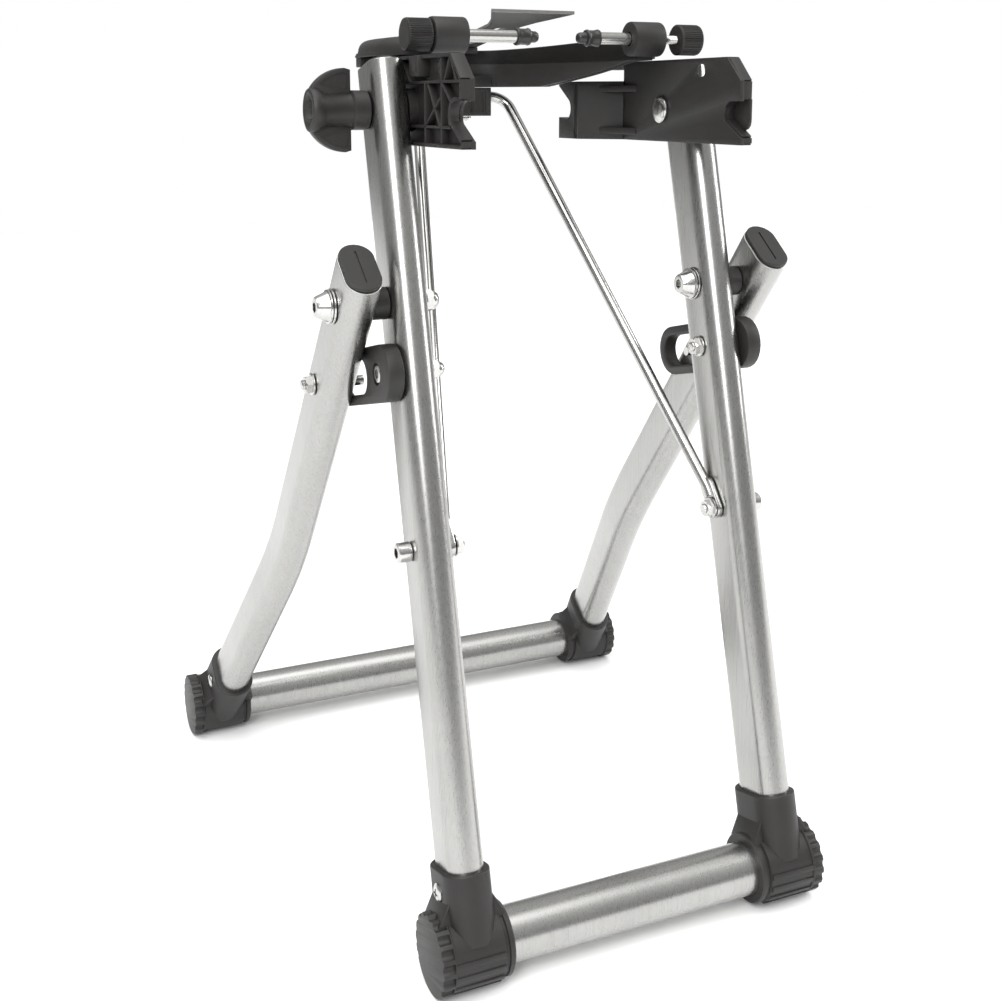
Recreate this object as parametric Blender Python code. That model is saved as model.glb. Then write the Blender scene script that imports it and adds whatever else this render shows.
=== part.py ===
"""Folding wheel truing stand: two hinged tube frames, axle heads, a swinging gauge and its feelers.

Metres, +Z up, front of the stand towards -Y. The origin is on the floor, midway between the feet.
"""

import math

import bmesh
import bpy
from mathutils import Matrix, Vector

MM = 0.001

# Frame
GAP = 0.3 * MM
TUBE_RADIUS = 12.7 * MM
OVAL_LONG = 30.0 * MM
OVAL_SHORT = 17.5 * MM
WALL = 1.4 * MM
AXIS_HEIGHT = 18.0 * MM
BASE_Y = 149.15 * MM
FRONT_X = 83.6 * MM
REAR_TOP_X = 109.5 * MM
REAR_BASE_X = 130.6 * MM
PIVOT = Vector((0, -75.65, 303.5)) * MM
LEG_TOP = 412.6 * MM
REAR_REACH = 22.5 * MM
BEND_SHARE = 0.56
BEND_RADIUS = 420.0 * MM

# Feet
FOOT_RADIUS = 18.6 * MM
FOOT_INSIDE = 17.0 * MM
FOOT_OUTSIDE = 18.4 * MM
SLEEVE_HEIGHT = 36.0 * MM
SLEEVE_WALL = 2.6 * MM
SOCKET_FLOOR = 15.6 * MM
SCREW_HEIGHT = 26.0 * MM

# Fasteners
PIVOT_BOLT = 3.0 * MM
LINK_BOLT = 2.5 * MM
ROD_BOLT = 2.5 * MM
HEAD_BOLT = 3.0 * MM
STUD = 3.7 * MM
LINK_DROP = 32.7 * MM
STOP_DROP = 54.6 * MM
ROD_PIVOT_HEIGHT = 191.9 * MM

# Axle heads
HEAD_FACE = 67.6 * MM
HEAD_BACK = 74.5 * MM
LUG_END = 76.4 * MM
CONE_LENGTH = 6.8 * MM
JAW_FACE = 49.6 * MM
PLATE_BOTTOM = 375.4 * MM
PLATE_TOP = 416.8 * MM
PLATE_REAR = -13.3 * MM
HEAD_AXIS_HEIGHT = 391.8 * MM
AXLE_RADIUS = 6.15 * MM
FRONT_JAW = (-116.95 * MM, 389.8 * MM)
REAR_JAW = (20.75 * MM, 391.9 * MM)

# Gauge
ROD_RADIUS = 3.0 * MM
BAR = Vector((0, 54.0, 398.5)) * MM
BAR_CORNER_X = 27.0 * MM
FEELER = Vector((0, -58.0, 426.8)) * MM
FEELER_TRAVEL = 9.5 * MM
FEELER_RADIUS = 3.1 * MM
BOSS_RADIUS = 8.6 * MM
BOSS_START = 45.0 * MM
BOSS_END = 62.5 * MM
BLADE_SLOPE = math.radians(8.0)
BLADE_ROOT = Vector((0, 58.0, 425.4)) * MM

# The front legs lean back, and the rear legs run down and back from the same pivot.
FRONT_BASE = Vector((0, -BASE_Y, AXIS_HEIGHT))
REAR_BASE = Vector((0, BASE_Y, AXIS_HEIGHT))
FRONT_AXIS = (PIVOT - FRONT_BASE).normalized()
REAR_AXIS = (PIVOT - REAR_BASE).normalized()
FRONT_LEAN = math.atan2(FRONT_AXIS.y, FRONT_AXIS.z)
REAR_LEAN = math.atan2(REAR_AXIS.y, REAR_AXIS.z)
FRONT_OUT = FRONT_X + OVAL_SHORT / 2
FRONT_IN = FRONT_X - OVAL_SHORT / 2
REAR_OUT = REAR_TOP_X + OVAL_SHORT / 2
REAR_IN = REAR_TOP_X - OVAL_SHORT / 2


def on_front_leg(height):
    """The centre of the front legs at a height, in the plane x = 0."""
    return FRONT_BASE + FRONT_AXIS * ((height - AXIS_HEIGHT) / FRONT_AXIS.z)


def at(x, centre):
    """A point of a cross axis at a given x."""
    return Vector((x, centre[1], centre[2]))


REAR_KNEE = PIVOT.lerp(REAR_BASE, BEND_SHARE)
REAR_LEG_AXIS = (at(REAR_TOP_X, REAR_KNEE) - at(REAR_BASE_X, REAR_BASE)).normalized()
HEAD_AXIS = on_front_leg(HEAD_AXIS_HEIGHT)
ROD_PIVOT = on_front_leg(ROD_PIVOT_HEIGHT)
LINK_PIVOT = PIVOT - FRONT_AXIS * LINK_DROP
STOP_PIVOT = PIVOT - REAR_AXIS * STOP_DROP

# ---------------------------------------------------------------- scene and materials

for old in list(bpy.data.objects):
    bpy.data.objects.remove(old, do_unlink=True)

parts = bpy.data.collections.new("truing_stand")
tools = bpy.data.collections.new("cutters")
for group in (parts, tools):
    bpy.context.scene.collection.children.link(group)

LOOKS = {
    "tube": ((0.62, 0.62, 0.60), 0.32, 1.0),
    "zinc": ((0.70, 0.70, 0.68), 0.22, 1.0),
    "steel": ((0.60, 0.60, 0.58), 0.18, 1.0),
    "plastic": ((0.045, 0.043, 0.042), 0.55, 0.0),
    "blade": ((0.09, 0.088, 0.085), 0.45, 0.6),
}


def make_material(name, look):
    colour, roughness, metallic = LOOKS[look]
    material = bpy.data.materials.new(name)
    material.use_nodes = True
    shader = material.node_tree.nodes["Principled BSDF"]
    shader.inputs["Base Color"].default_value = (*colour, 1)
    shader.inputs["Roughness"].default_value = roughness
    shader.inputs["Metallic"].default_value = metallic
    return material


def add_mesh(name, mesh):
    """A cutter or a filler until `finish` makes it a part."""
    obj = bpy.data.objects.new(name, mesh)
    tools.objects.link(obj)
    obj.hide_render = True
    obj.display_type = "WIRE"
    return obj


def finish(obj, name, look):
    """Names an object as a part of the stand and gives it its own material."""
    tools.objects.unlink(obj)
    parts.objects.link(obj)
    obj.name = name
    obj.hide_render = False
    obj.display_type = "TEXTURED"
    obj.data.materials.clear()
    obj.data.materials.append(make_material(name, look))
    obj.data.set_sharp_from_angle(angle=math.radians(35))
    return obj


def boolean(obj, other, operation):
    modifier = obj.modifiers.new(operation.lower(), "BOOLEAN")
    modifier.operation = operation
    modifier.object = other
    modifier.solver = "EXACT"


def cut(obj, *others):
    for other in others:
        boolean(obj, other, "DIFFERENCE")
    return obj


def fuse(obj, *others):
    for other in others:
        boolean(obj, other, "UNION")
    return obj


# ---------------------------------------------------------------- shapes


def drum(name, radius, start, end, sides=32, end_radius=None):
    """A cylinder or cone from one point to another."""
    start, end = Vector(start), Vector(end)
    mesh = bpy.data.meshes.new(name)
    shape = bmesh.new()
    bmesh.ops.create_cone(
        shape,
        cap_ends=True,
        segments=sides,
        radius1=radius,
        radius2=radius if end_radius is None else end_radius,
        depth=(end - start).length,
    )
    turn = (end - start).to_track_quat("Z", "Y").to_matrix().to_4x4()
    shape.transform(Matrix.Translation((start + end) / 2) @ turn)
    shape.to_mesh(mesh)
    shape.free()
    mesh.shade_smooth()
    return add_mesh(name, mesh)


def box(name, low, high):
    mesh = bpy.data.meshes.new(name)
    shape = bmesh.new()
    size = Vector(high) - Vector(low)
    place = Matrix.Translation((Vector(low) + Vector(high)) / 2) @ Matrix.Diagonal((*size, 1))
    bmesh.ops.create_cube(shape, size=1, matrix=place)
    shape.to_mesh(mesh)
    shape.free()
    return add_mesh(name, mesh)


PLANES = {
    "yz": Matrix(((0, 0, 1), (1, 0, 0), (0, 1, 0))).to_4x4(),
    "xz": Matrix(((1, 0, 0), (0, 0, -1), (0, 1, 0))).to_4x4(),
    "xy": Matrix.Identity(4),
}


def curve_mesh(name, curve):
    """A curve's surface as a mesh object with its caps welded on."""
    helper = bpy.data.objects.new(name, curve)
    tools.objects.link(helper)
    bpy.context.view_layer.update()
    graph = bpy.context.evaluated_depsgraph_get()
    mesh = bpy.data.meshes.new_from_object(helper.evaluated_get(graph))
    shape = bmesh.new()
    shape.from_mesh(mesh)
    bmesh.ops.remove_doubles(shape, verts=shape.verts, dist=0.00001)
    shape.to_mesh(mesh)
    shape.free()
    bpy.data.objects.remove(helper, do_unlink=True)
    mesh.shade_smooth()
    return add_mesh(name, mesh)


def poly_spline(curve, points, cyclic):
    spline = curve.splines.new("POLY")
    spline.points.add(len(points) - 1)
    for target, point in zip(spline.points, points):
        target.co = (*Vector(point).to_3d(), 1)
    spline.use_cyclic_u = cyclic


def slab(name, outline, plane, low, high):
    """A flat outline with thickness. `low` and `high` are along the outline's normal."""
    curve = bpy.data.curves.new(name, "CURVE")
    curve.dimensions = "2D"
    curve.fill_mode = "BOTH"
    curve.extrude = (high - low) / 2
    poly_spline(curve, outline, True)
    obj = curve_mesh(name, curve)
    obj.data.transform(PLANES[plane] @ Matrix.Translation((0, 0, (low + high) / 2)))
    return obj


def arc(centre, radius, start, end, steps):
    """Points round a centre, from one angle to another in degrees."""
    points = []
    for step in range(steps + 1):
        angle = math.radians(start + (end - start) * step / steps)
        points.append((centre[0] + radius * math.cos(angle), centre[1] + radius * math.sin(angle)))
    return points


def stadium(length, width, steps=6):
    """A flat-sided oval, long along the first axis."""
    shift = (length - width) / 2
    right = arc((shift, 0), width / 2, -90, 90, steps)
    left = arc((-shift, 0), width / 2, 90, 270, steps)
    return right + left


def fillet(points, radius, steps):
    """A path whose inner corners are rounded with arcs."""
    points = [Vector(point) for point in points]
    path = [points[0]]
    for before, corner, after in zip(points, points[1:], points[2:]):
        toward = (before - corner).normalized()
        away = (after - corner).normalized()
        half = toward.angle(away) / 2
        centre = corner + (toward + away).normalized() * (radius / math.sin(half))
        start = corner + toward * (radius / math.tan(half)) - centre
        end = corner + away * (radius / math.tan(half)) - centre
        for step in range(steps + 1):
            path.append(centre + start.slerp(end, step / steps) * radius)
    path.append(points[-1])
    return path


def round_rod(name, points, radius, resolution=3):
    curve = bpy.data.curves.new(name, "CURVE")
    curve.dimensions = "3D"
    curve.bevel_depth = radius
    curve.bevel_resolution = resolution
    curve.use_fill_caps = True
    poly_spline(curve, points, False)
    return curve_mesh(name, curve)


def oval_solid(name, length, width, start, end, lean):
    """A straight oval bar. Its long side lies in the plane of its lean, its short side along X."""
    start, end = Vector(start), Vector(end)
    obj = slab(name, stadium(length, width), "xy", 0, (end - start).length)
    turn = Matrix.Rotation(-lean, 4, "X") @ Matrix.Rotation(math.pi / 2, 4, "Z")
    obj.data.transform(Matrix.Translation(start) @ turn)
    return obj


def oval_path(name, length, width, path):
    """An oval bar along a path that stays near one leaning plane."""
    profile = bpy.data.curves.new(name + "_profile", "CURVE")
    profile.dimensions = "2D"
    poly_spline(profile, [(across, along) for along, across in stadium(length, width)], True)
    guide = bpy.data.objects.new(name + "_profile", profile)
    tools.objects.link(guide)
    curve = bpy.data.curves.new(name, "CURVE")
    curve.dimensions = "3D"
    curve.twist_mode = "Z_UP"
    curve.bevel_mode = "OBJECT"
    curve.bevel_object = guide
    curve.use_fill_caps = True
    poly_spline(curve, path, False)
    obj = curve_mesh(name, curve)
    bpy.data.objects.remove(guide, do_unlink=True)
    return obj


def pin(name, radius, centre, start, end, sides=16):
    """A round solid along X between two places."""
    return drum(name, radius, at(start, centre), at(end, centre), sides)


def hexagon(name, across, centre, start, end, turn=0):
    obj = drum(name, across / math.sqrt(3), at(start, centre), at(end, centre), 6)
    shift = Matrix.Translation(at(0, centre))
    obj.data.transform(shift @ Matrix.Rotation(math.radians(turn), 4, "X") @ shift.inverted())
    obj.data.shade_flat()
    return obj


# ---------------------------------------------------------------- tubes


def front_leg(side, name):
    foot = FRONT_BASE + FRONT_AXIS * SOCKET_FLOOR
    top = on_front_leg(LEG_TOP)
    x = side * FRONT_X
    leg = oval_solid(name, OVAL_LONG, OVAL_SHORT, at(x, foot), at(x, top), FRONT_LEAN)
    ends = FRONT_AXIS * 2 * MM
    bore = oval_solid(
        name + "_bore",
        OVAL_LONG - 2 * WALL,
        OVAL_SHORT - 2 * WALL,
        at(x, foot - ends),
        at(x, top + ends),
        FRONT_LEAN,
    )
    holes = [
        (PIVOT_BOLT, PIVOT),
        (LINK_BOLT, LINK_PIVOT),
        (ROD_BOLT, ROD_PIVOT),
        (STUD if side < 0 else HEAD_BOLT, HEAD_AXIS),
    ]
    cut(leg, bore)
    for index, (radius, centre) in enumerate(holes):
        reach = FRONT_OUT + 5 * MM
        cut(leg, pin(f"{name}_hole_{index}", radius + GAP, centre, side * 60 * MM, side * reach))
    screw = FRONT_BASE + FRONT_AXIS * SCREW_HEIGHT
    cut(leg, pin(f"{name}_screw_hole", 1.9 * MM, screw, side * (FRONT_X + 3 * MM), side * 105 * MM, 12))
    return finish(leg, name, "tube")


def rear_path(side, low, high):
    """The rear leg's centre line: straight from the pivot, then spreading outwards to its foot."""
    top = PIVOT + REAR_AXIS * high
    foot = at(REAR_BASE_X, REAR_BASE)
    knee = at(REAR_TOP_X, REAR_KNEE)
    end = foot + REAR_LEG_AXIS * low
    path = fillet([end, knee, at(REAR_TOP_X, top)], BEND_RADIUS, 6)
    return [Vector((side * point.x, point.y, point.z)) for point in path]


def rear_leg(side, name):
    leg = oval_path(name, OVAL_LONG, OVAL_SHORT, rear_path(side, SOCKET_FLOOR, REAR_REACH))
    inner = rear_path(side, SOCKET_FLOOR - 2 * MM, REAR_REACH + 2 * MM)
    bore = oval_path(name + "_bore", OVAL_LONG - 2 * WALL, OVAL_SHORT - 2 * WALL, inner)
    cut(leg, bore)
    for index, (radius, centre) in enumerate(((PIVOT_BOLT, PIVOT), (LINK_BOLT, STOP_PIVOT))):
        cut(leg, pin(f"{name}_hole_{index}", radius + GAP, centre, side * 95 * MM, side * 125 * MM))
    screw = REAR_BASE + REAR_LEG_AXIS * SCREW_HEIGHT
    cut(leg, pin(f"{name}_screw_hole", 1.9 * MM, screw, side * 127 * MM, side * 150 * MM, 16))
    return finish(leg, name, "tube")


def base_tube(name, centre, reach):
    tube = pin(name, TUBE_RADIUS, centre, -reach, reach, 32)
    cut(tube, pin(name + "_bore", TUBE_RADIUS - WALL, centre, -reach - 1 * MM, reach + 1 * MM, 32))
    return finish(tube, name, "tube")


def end_cap(name, centre, x, lean, thickness):
    """A plastic plug in a leg's open end, with a fine groove across its face."""
    axis = Vector((0, math.sin(lean), math.cos(lean)))
    start = at(x, centre)
    face = oval_solid(
        name, OVAL_LONG - 0.8 * MM, OVAL_SHORT - 0.8 * MM, start + axis * GAP, start + axis * thickness, lean
    )
    plug = oval_solid(
        name + "_plug",
        OVAL_LONG - 2 * WALL - 2 * GAP,
        OVAL_SHORT - 2 * WALL - 2 * GAP,
        start - axis * 9 * MM,
        start + axis * thickness / 2,
        lean,
    )
    groove = oval_solid(
        name + "_groove",
        OVAL_LONG * 0.7,
        0.8 * MM,
        start + axis * (thickness - 0.5 * MM),
        start + axis * (thickness + 1 * MM),
        lean,
    )
    return finish(cut(fuse(face, plug), groove), name, "plastic")


# ---------------------------------------------------------------- feet

SCALLOPS = 7
RIBS = 3


def foot(name, side, centre, leg_x, axis):
    """A corner joint: a barrel on the base tube's end with a sleeve for the leg, which runs along `axis`."""
    inner = side * (leg_x - FOOT_INSIDE)
    outer = side * (leg_x + FOOT_OUTSIDE)
    barrel = pin(name, FOOT_RADIUS, centre, inner, outer, 36)
    start = at(side * leg_x, centre)
    along = Vector((side * axis.x, axis.y, axis.z))

    def leg_bar(label, grow, low, high):
        path = [start + along * low, start + along * high]
        return oval_path(label, OVAL_LONG + 2 * grow, OVAL_SHORT + 2 * grow, path)

    fuse(barrel, leg_bar(name + "_sleeve", SLEEVE_WALL, 4 * MM, SLEEVE_HEIGHT))
    below = box(name + "_floor", (-0.2, -0.2, -0.02), (0.2, 0.2, 0))
    cut(barrel, below)
    tube_end = side * (leg_x + FOOT_OUTSIDE - 5.4 * MM)
    cut(barrel, pin(name + "_bore", TUBE_RADIUS + GAP, centre, side * (leg_x - 30 * MM), tube_end, 32))
    cut(barrel, leg_bar(name + "_socket", GAP, SOCKET_FLOOR - GAP, SLEEVE_HEIGHT + 2 * MM))
    for index in range(SCALLOPS):
        angle = math.radians(-20 + index * 220 / (SCALLOPS - 1))
        spot = centre + Vector((0, math.cos(angle), math.sin(angle))) * (FOOT_RADIUS + 0.9 * MM)
        low = side * (leg_x + FOOT_OUTSIDE - 6.5 * MM)
        high = side * (leg_x + FOOT_OUTSIDE - 1.8 * MM)
        cut(barrel, pin(f"{name}_scallop_{index}", 2.2 * MM, spot, low, high, 8))
    front = -1 if centre.y < 0 else 1
    for index in range(RIBS):
        angle = math.radians(6 - 27 * index)
        spot = centre + Vector((0, front * math.cos(angle), math.sin(angle))) * (FOOT_RADIUS + 0.4 * MM)
        low = side * (leg_x - FOOT_INSIDE + 2.5 * MM)
        high = side * (leg_x + FOOT_OUTSIDE - 2.4 * MM)
        cut(barrel, pin(f"{name}_groove_{index}", 1.8 * MM, spot, low, high, 8))
    screw = at(0, centre + axis * SCREW_HEIGHT)
    face = leg_x + axis.x * SCREW_HEIGHT + OVAL_SHORT / 2 + SLEEVE_WALL
    cut(barrel, pin(name + "_screw_hole", 1.9 * MM, screw, side * leg_x, side * (face + 2 * MM), 16))
    cut(barrel, pin(name + "_screw_seat", 3.9 * MM, screw, side * (face - 0.8 * MM), side * (face + 4 * MM)))
    finish(barrel, name, "plastic")
    return foot_screw(name + "_screw", side, screw, face)


def foot_screw(name, side, centre, face):
    """A pan-head screw with a cross recess, through the sleeve and into the leg."""
    head = pin(name, 3.5 * MM, centre, side * (face - 0.4 * MM), side * (face + 1.1 * MM))
    fuse(head, pin(name + "_shank", 1.5 * MM, centre, side * (face - 8 * MM), side * face, 12))
    deep, shallow = side * (face + 0.2 * MM), side * (face + 2 * MM)
    low, high = min(deep, shallow), max(deep, shallow)
    wide, thin = 2.1 * MM, 0.45 * MM
    for index, (across, up) in enumerate(((wide, thin), (thin, wide))):
        corner = Vector((0, across, up))
        slot = box(f"{name}_slot_{index}", at(low, centre - corner), at(high, centre + corner))
        cut(head, slot)
    return finish(head, name, "zinc")


# ---------------------------------------------------------------- fasteners


def cone_bolt(name, side, centre, face, tip, radius):
    """A socket bolt with a conical head. `face` is where the head starts, `tip` the shank's end."""
    step = 1 if face > tip else -1
    head = drum(
        name,
        7.2 * MM,
        at(side * face, centre),
        at(side * (face + step * CONE_LENGTH), centre),
        24,
        4.6 * MM,
    )
    fuse(head, pin(name + "_shank", radius, centre, side * (face + step * 1 * MM), side * tip))
    near, far = side * (face + step * 4 * MM), side * (face + step * 10 * MM)
    cut(head, hexagon(name + "_socket", 4.2 * MM, centre, near, far))
    return finish(head, name, "zinc")


def barrel_bolt(name, side, centre, face, tip, radius, head_radius, height, look="zinc"):
    """A round-headed socket bolt."""
    step = 1 if face > tip else -1
    head = pin(name, head_radius, centre, side * face, side * (face + step * height), 20)
    fuse(head, pin(name + "_shank", radius, centre, side * (face + step * 1 * MM), side * tip))
    near, far = side * (face + step * height * 0.45), side * (face + step * (height + 1 * MM))
    cut(head, hexagon(name + "_socket", head_radius * 0.95, centre, near, far))
    return finish(head, name, look)


def hex_bolt(name, side, centre, face, tip, radius, across, height):
    step = 1 if face > tip else -1
    head = hexagon(name, across, centre, side * face, side * (face + step * height), 12)
    fuse(head, pin(name + "_shank", radius, centre, side * (face + step * 1 * MM), side * tip))
    return finish(head, name, "zinc")


def hex_nut(name, side, centre, start, end, radius, across):
    """A nut threaded on a shank, with a running gap to it."""
    nut = hexagon(name, across, centre, side * start, side * end, 8)
    low, high = min(start, end) - 1 * MM, max(start, end) + 1 * MM
    cut(nut, pin(name + "_thread", radius + GAP, centre, side * low, side * high))
    return finish(nut, name, "zinc")


def washer(name, side, centre, start, end, inner, outer, look="zinc"):
    ring = pin(name, outer, centre, side * start, side * end, 32)
    low, high = min(start, end) - 1 * MM, max(start, end) + 1 * MM
    cut(ring, pin(name + "_hole", inner, centre, side * low, side * high))
    return finish(ring, name, look)


# ---------------------------------------------------------------- axle heads


def head(side, name):
    """One axle head: a ribbed plate on the leg's inner face that steps inwards to a second jaw."""
    plan = [
        (HEAD_FACE, -126 * MM),
        (HEAD_BACK, -126 * MM),
        (HEAD_BACK, -11 * MM),
        (JAW_FACE + 6.2 * MM, 7.6 * MM),
        (JAW_FACE + 6.2 * MM, 30 * MM),
        (JAW_FACE, 30 * MM),
        (JAW_FACE, 5 * MM),
        (HEAD_FACE, PLATE_REAR),
    ]
    plan = [(side * x, y) for x, y in plan]
    plate = slab(name, plan if side > 0 else plan[::-1], "xy", PLATE_BOTTOM, PLATE_TOP)
    front_seat = arc(FRONT_JAW, AXLE_RADIUS, 90, -35, 7)
    rear_seat = arc(REAR_JAW, AXLE_RADIUS, 248, 132, 7)
    profile = [(-125.2 * MM, PLATE_BOTTOM - 1 * MM), (28.7 * MM, PLATE_BOTTOM - 1 * MM), (28.7 * MM, 387.1 * MM)]
    profile += rear_seat
    profile += [
        (29 * MM, 404.4 * MM),
        (29 * MM, 406.7 * MM),
        (PLATE_REAR, 406.7 * MM),
        (PLATE_REAR, PLATE_TOP + 1 * MM),
        (-112 * MM, PLATE_TOP + 1 * MM),
        (-112 * MM, PLATE_TOP),
        (-124.1 * MM, 405.5 * MM),
        (-124.1 * MM, FRONT_JAW[1] + AXLE_RADIUS),
    ]
    profile += front_seat + [(-125.2 * MM, 379.1 * MM)]
    span = sorted((side * 40 * MM, side * 95 * MM))
    boolean(plate, slab(name + "_profile", profile, "yz", *span), "INTERSECT")

    pocket_low, pocket_high = sorted((side * (HEAD_FACE + 2.4 * MM), side * (HEAD_BACK + 2 * MM)))
    ring_radius = AXLE_RADIUS + 1.8 * MM
    outline = [(-15 * MM, 377.6 * MM), (-15 * MM, 404.6 * MM), (-15 * MM, 414.8 * MM), (-111 * MM, 414.8 * MM)]
    outline += [(-121.6 * MM, 404.9 * MM), (-121.6 * MM, FRONT_JAW[1] + ring_radius)]
    outline += arc(FRONT_JAW, ring_radius, 90, -60, 6) + [(-121 * MM, 377.6 * MM)]
    cut(plate, slab(name + "_pocket", outline, "yz", pocket_low, pocket_high))
    rib_low, rib_high = sorted((side * (HEAD_FACE + 1.4 * MM), side * (HEAD_BACK - 0.6 * MM)))
    for index, (start, end) in enumerate(head_ribs()):
        fuse(plate, bar_between(f"{name}_rib_{index}", start, end, 1.3 * MM, rib_low, rib_high))
    boss_start, boss_end = side * (HEAD_FACE + 1 * MM), side * HEAD_BACK
    fuse(plate, pin(name + "_boss", 10 * MM, HEAD_AXIS, boss_start, boss_end, 20))
    lug_low, lug_high = sorted((side * (HEAD_FACE + 1 * MM), side * LUG_END))
    fuse(plate, box(name + "_lug", (lug_low, -77.3 * MM, 407 * MM), (lug_high, -65.9 * MM, 416.6 * MM)))
    for index, low in enumerate((378.4 * MM, 400.9 * MM)):
        gusset = [(58.5, -4.1), (HEAD_FACE / MM + 0.5, -27.5), (HEAD_FACE / MM + 0.5, -8), (62, 0)]
        gusset = [(side * x * MM, y * MM) for x, y in gusset]
        fuse(plate, slab(f"{name}_gusset_{index}", gusset[:: -side], "xy", low, low + 3.4 * MM))
    if side > 0:
        # a thin wall closes the outer end of the right-hand seat
        cup = [(-110, 396.4), (-124.9, 396.4), (-124.9, 386.5), (-123.6, 383.4), (-120.6, 382.2), (-110, 382.2)]
        cup = [(y * MM, z * MM) for y, z in cup]
        fuse(plate, slab(name + "_cup", cup, "yz", HEAD_BACK - 1.5 * MM, HEAD_BACK - 0.1 * MM))
    bolt = STUD if side < 0 else HEAD_BOLT
    cut(plate, pin(name + "_hole", bolt + GAP, HEAD_AXIS, *span))
    slot = [(y - 88.8 * MM, z + 410.8 * MM) for y, z in stadium(9.2 * MM, 6.2 * MM, 4)]
    cut(plate, slab(name + "_slot", slot, "yz", *span))
    return finish(plate, name, "plastic")


def head_ribs():
    """Centre lines of the stiffening ribs on a head's outer side, as y and z."""
    top, upper, lower, base = 416 * MM, 404.5 * MM, 384.5 * MM, 376.5 * MM
    first, second = -79.3 * MM, -99.6 * MM
    return [
        ((-122.5 * MM, upper), (-14 * MM, upper)),
        ((-110 * MM, lower), (-14 * MM, lower)),
        ((first, base), (first, upper)),
        ((second, base), (second, top)),
        ((-82.5 * MM, upper), (-97.5 * MM, lower)),
        ((-101 * MM, 397 * MM), (first, lower)),
        ((second, upper), (-111 * MM, 395 * MM)),
        ((-103 * MM, upper), (-110 * MM, top - 1 * MM)),
        ((-110 * MM, top - 1 * MM), (-117 * MM, upper)),
    ]


def bar_between(name, start, end, width, low, high):
    """A thin upright bar in the yz plane between two points."""
    start, end = Vector(start), Vector(end)
    across = (end - start).normalized().orthogonal() * width / 2
    outline = [start - across, end - across, end + across, start + across]
    if (end - start).cross(across) < 0:
        outline.reverse()
    return slab(name, outline, "yz", low, high)


# ---------------------------------------------------------------- wing knob

KNOB_END = 121.0 * MM
KNOB_START = FRONT_OUT + 0.4 * MM


def wing_knob(name):
    """A hub with two curved wings and a hexagonal recess for the stud's head."""
    knob = pin(name, 8.0 * MM, HEAD_AXIS, -KNOB_START, -KNOB_END, 32)
    fuse(knob, pin(name + "_collar", 9.2 * MM, HEAD_AXIS, -KNOB_START, -101 * MM, 32))
    fuse(knob, pin(name + "_nose", 10.4 * MM, HEAD_AXIS, -115.8 * MM, -KNOB_END, 32))
    swell = [(-100.9 * MM, 19.2 * MM)]
    swell += [(x, z) for x, z in arc((-103 * MM, -0.5 * MM), 19.9 * MM, 98, 172, 9)]
    outline = swell + [(x, -z) for x, z in swell[::-1]]
    wings = slab(name + "_wings", outline, "xz", -2.6 * MM, 2.6 * MM)
    wings.data.transform(Matrix.Translation(at(0, HEAD_AXIS)))
    fuse(knob, wings)
    cut(knob, pin(name + "_bore", STUD + GAP, HEAD_AXIS, -80 * MM, -130 * MM))
    cut(knob, hexagon(name + "_recess", 13.4 * MM, HEAD_AXIS, -112 * MM, -130 * MM, 12))
    return finish(knob, name, "plastic")


# ---------------------------------------------------------------- lock links

LINK_IN = FRONT_OUT + GAP
LINK_OUT = REAR_IN - GAP
LINK_HEIGHT = 27.0 * MM
LINK_FRONT = 18.0 * MM
LINK_REAR = 70.5 * MM
LINK_TILT = -math.atan2(LINK_PIVOT.z - STOP_PIVOT.z, STOP_PIVOT.y - LINK_PIVOT.y)


def lock_link(side, name):
    """A long oval plate between the legs: a hole for its pivot and a wide window for the stop bolt."""
    length = LINK_FRONT + LINK_REAR
    middle = (LINK_REAR - LINK_FRONT) / 2
    turn = Matrix.Rotation(LINK_TILT + math.radians(1.5), 4, "X")
    low, high = sorted((side * LINK_IN, side * LINK_OUT))

    def placed(obj):
        obj.data.transform(Matrix.Translation(at(0, LINK_PIVOT)) @ turn)
        return obj

    outline = [(y + middle, z) for y, z in stadium(length, LINK_HEIGHT)]
    plate = placed(slab(name, outline, "yz", low, high))
    window_length = 50.0 * MM
    window_middle = LINK_REAR - 5.5 * MM - window_length / 2
    window = [(y + window_middle, z) for y, z in stadium(window_length, 16.8 * MM)]
    span = sorted((side * 80 * MM, side * 120 * MM))
    cut(plate, placed(slab(name + "_window", window, "yz", *span)))
    cut(plate, pin(name + "_hole", LINK_BOLT + GAP, LINK_PIVOT, *span))
    cut(plate, pin(name + "_seat", 5.0 * MM, LINK_PIVOT, side * (LINK_OUT - 3.6 * MM), side * 120 * MM))
    return finish(plate, name, "plastic")


# ---------------------------------------------------------------- gauge

ROD_UP = (BAR - ROD_PIVOT).normalized()
EYE_IN = FRONT_IN - GAP - 3.0 * MM


def gauge_rod(name):
    """A bent rod like a narrow arch, flattened to an eye at each end."""
    low = ROD_PIVOT + ROD_UP * 11 * MM
    path = [
        at(-FRONT_IN + 4.0 * MM, low),
        at(-BAR_CORNER_X, BAR),
        at(BAR_CORNER_X, BAR),
        at(FRONT_IN - 4.0 * MM, low),
    ]
    rod = round_rod(name, fillet(path, 11 * MM, 7), ROD_RADIUS)
    lean = math.atan2(ROD_UP.y, ROD_UP.z)
    for side in (-1, 1):
        label = f"{name}_eye_{side + 1}"
        outline = [(y, z + 5 * MM) for z, y in stadium(21 * MM, 10 * MM)][::-1]
        low_x, high_x = sorted((side * EYE_IN, side * (FRONT_IN - GAP)))
        eye = slab(label, outline, "yz", low_x, high_x)
        eye.data.transform(Matrix.Translation(at(0, ROD_PIVOT)) @ Matrix.Rotation(-lean, 4, "X"))
        fuse(rod, eye)
        cut(rod, pin(label + "_hole", ROD_BOLT + GAP, ROD_PIVOT, side * 60 * MM, side * 80 * MM))
    return finish(rod, name, "steel")


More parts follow.
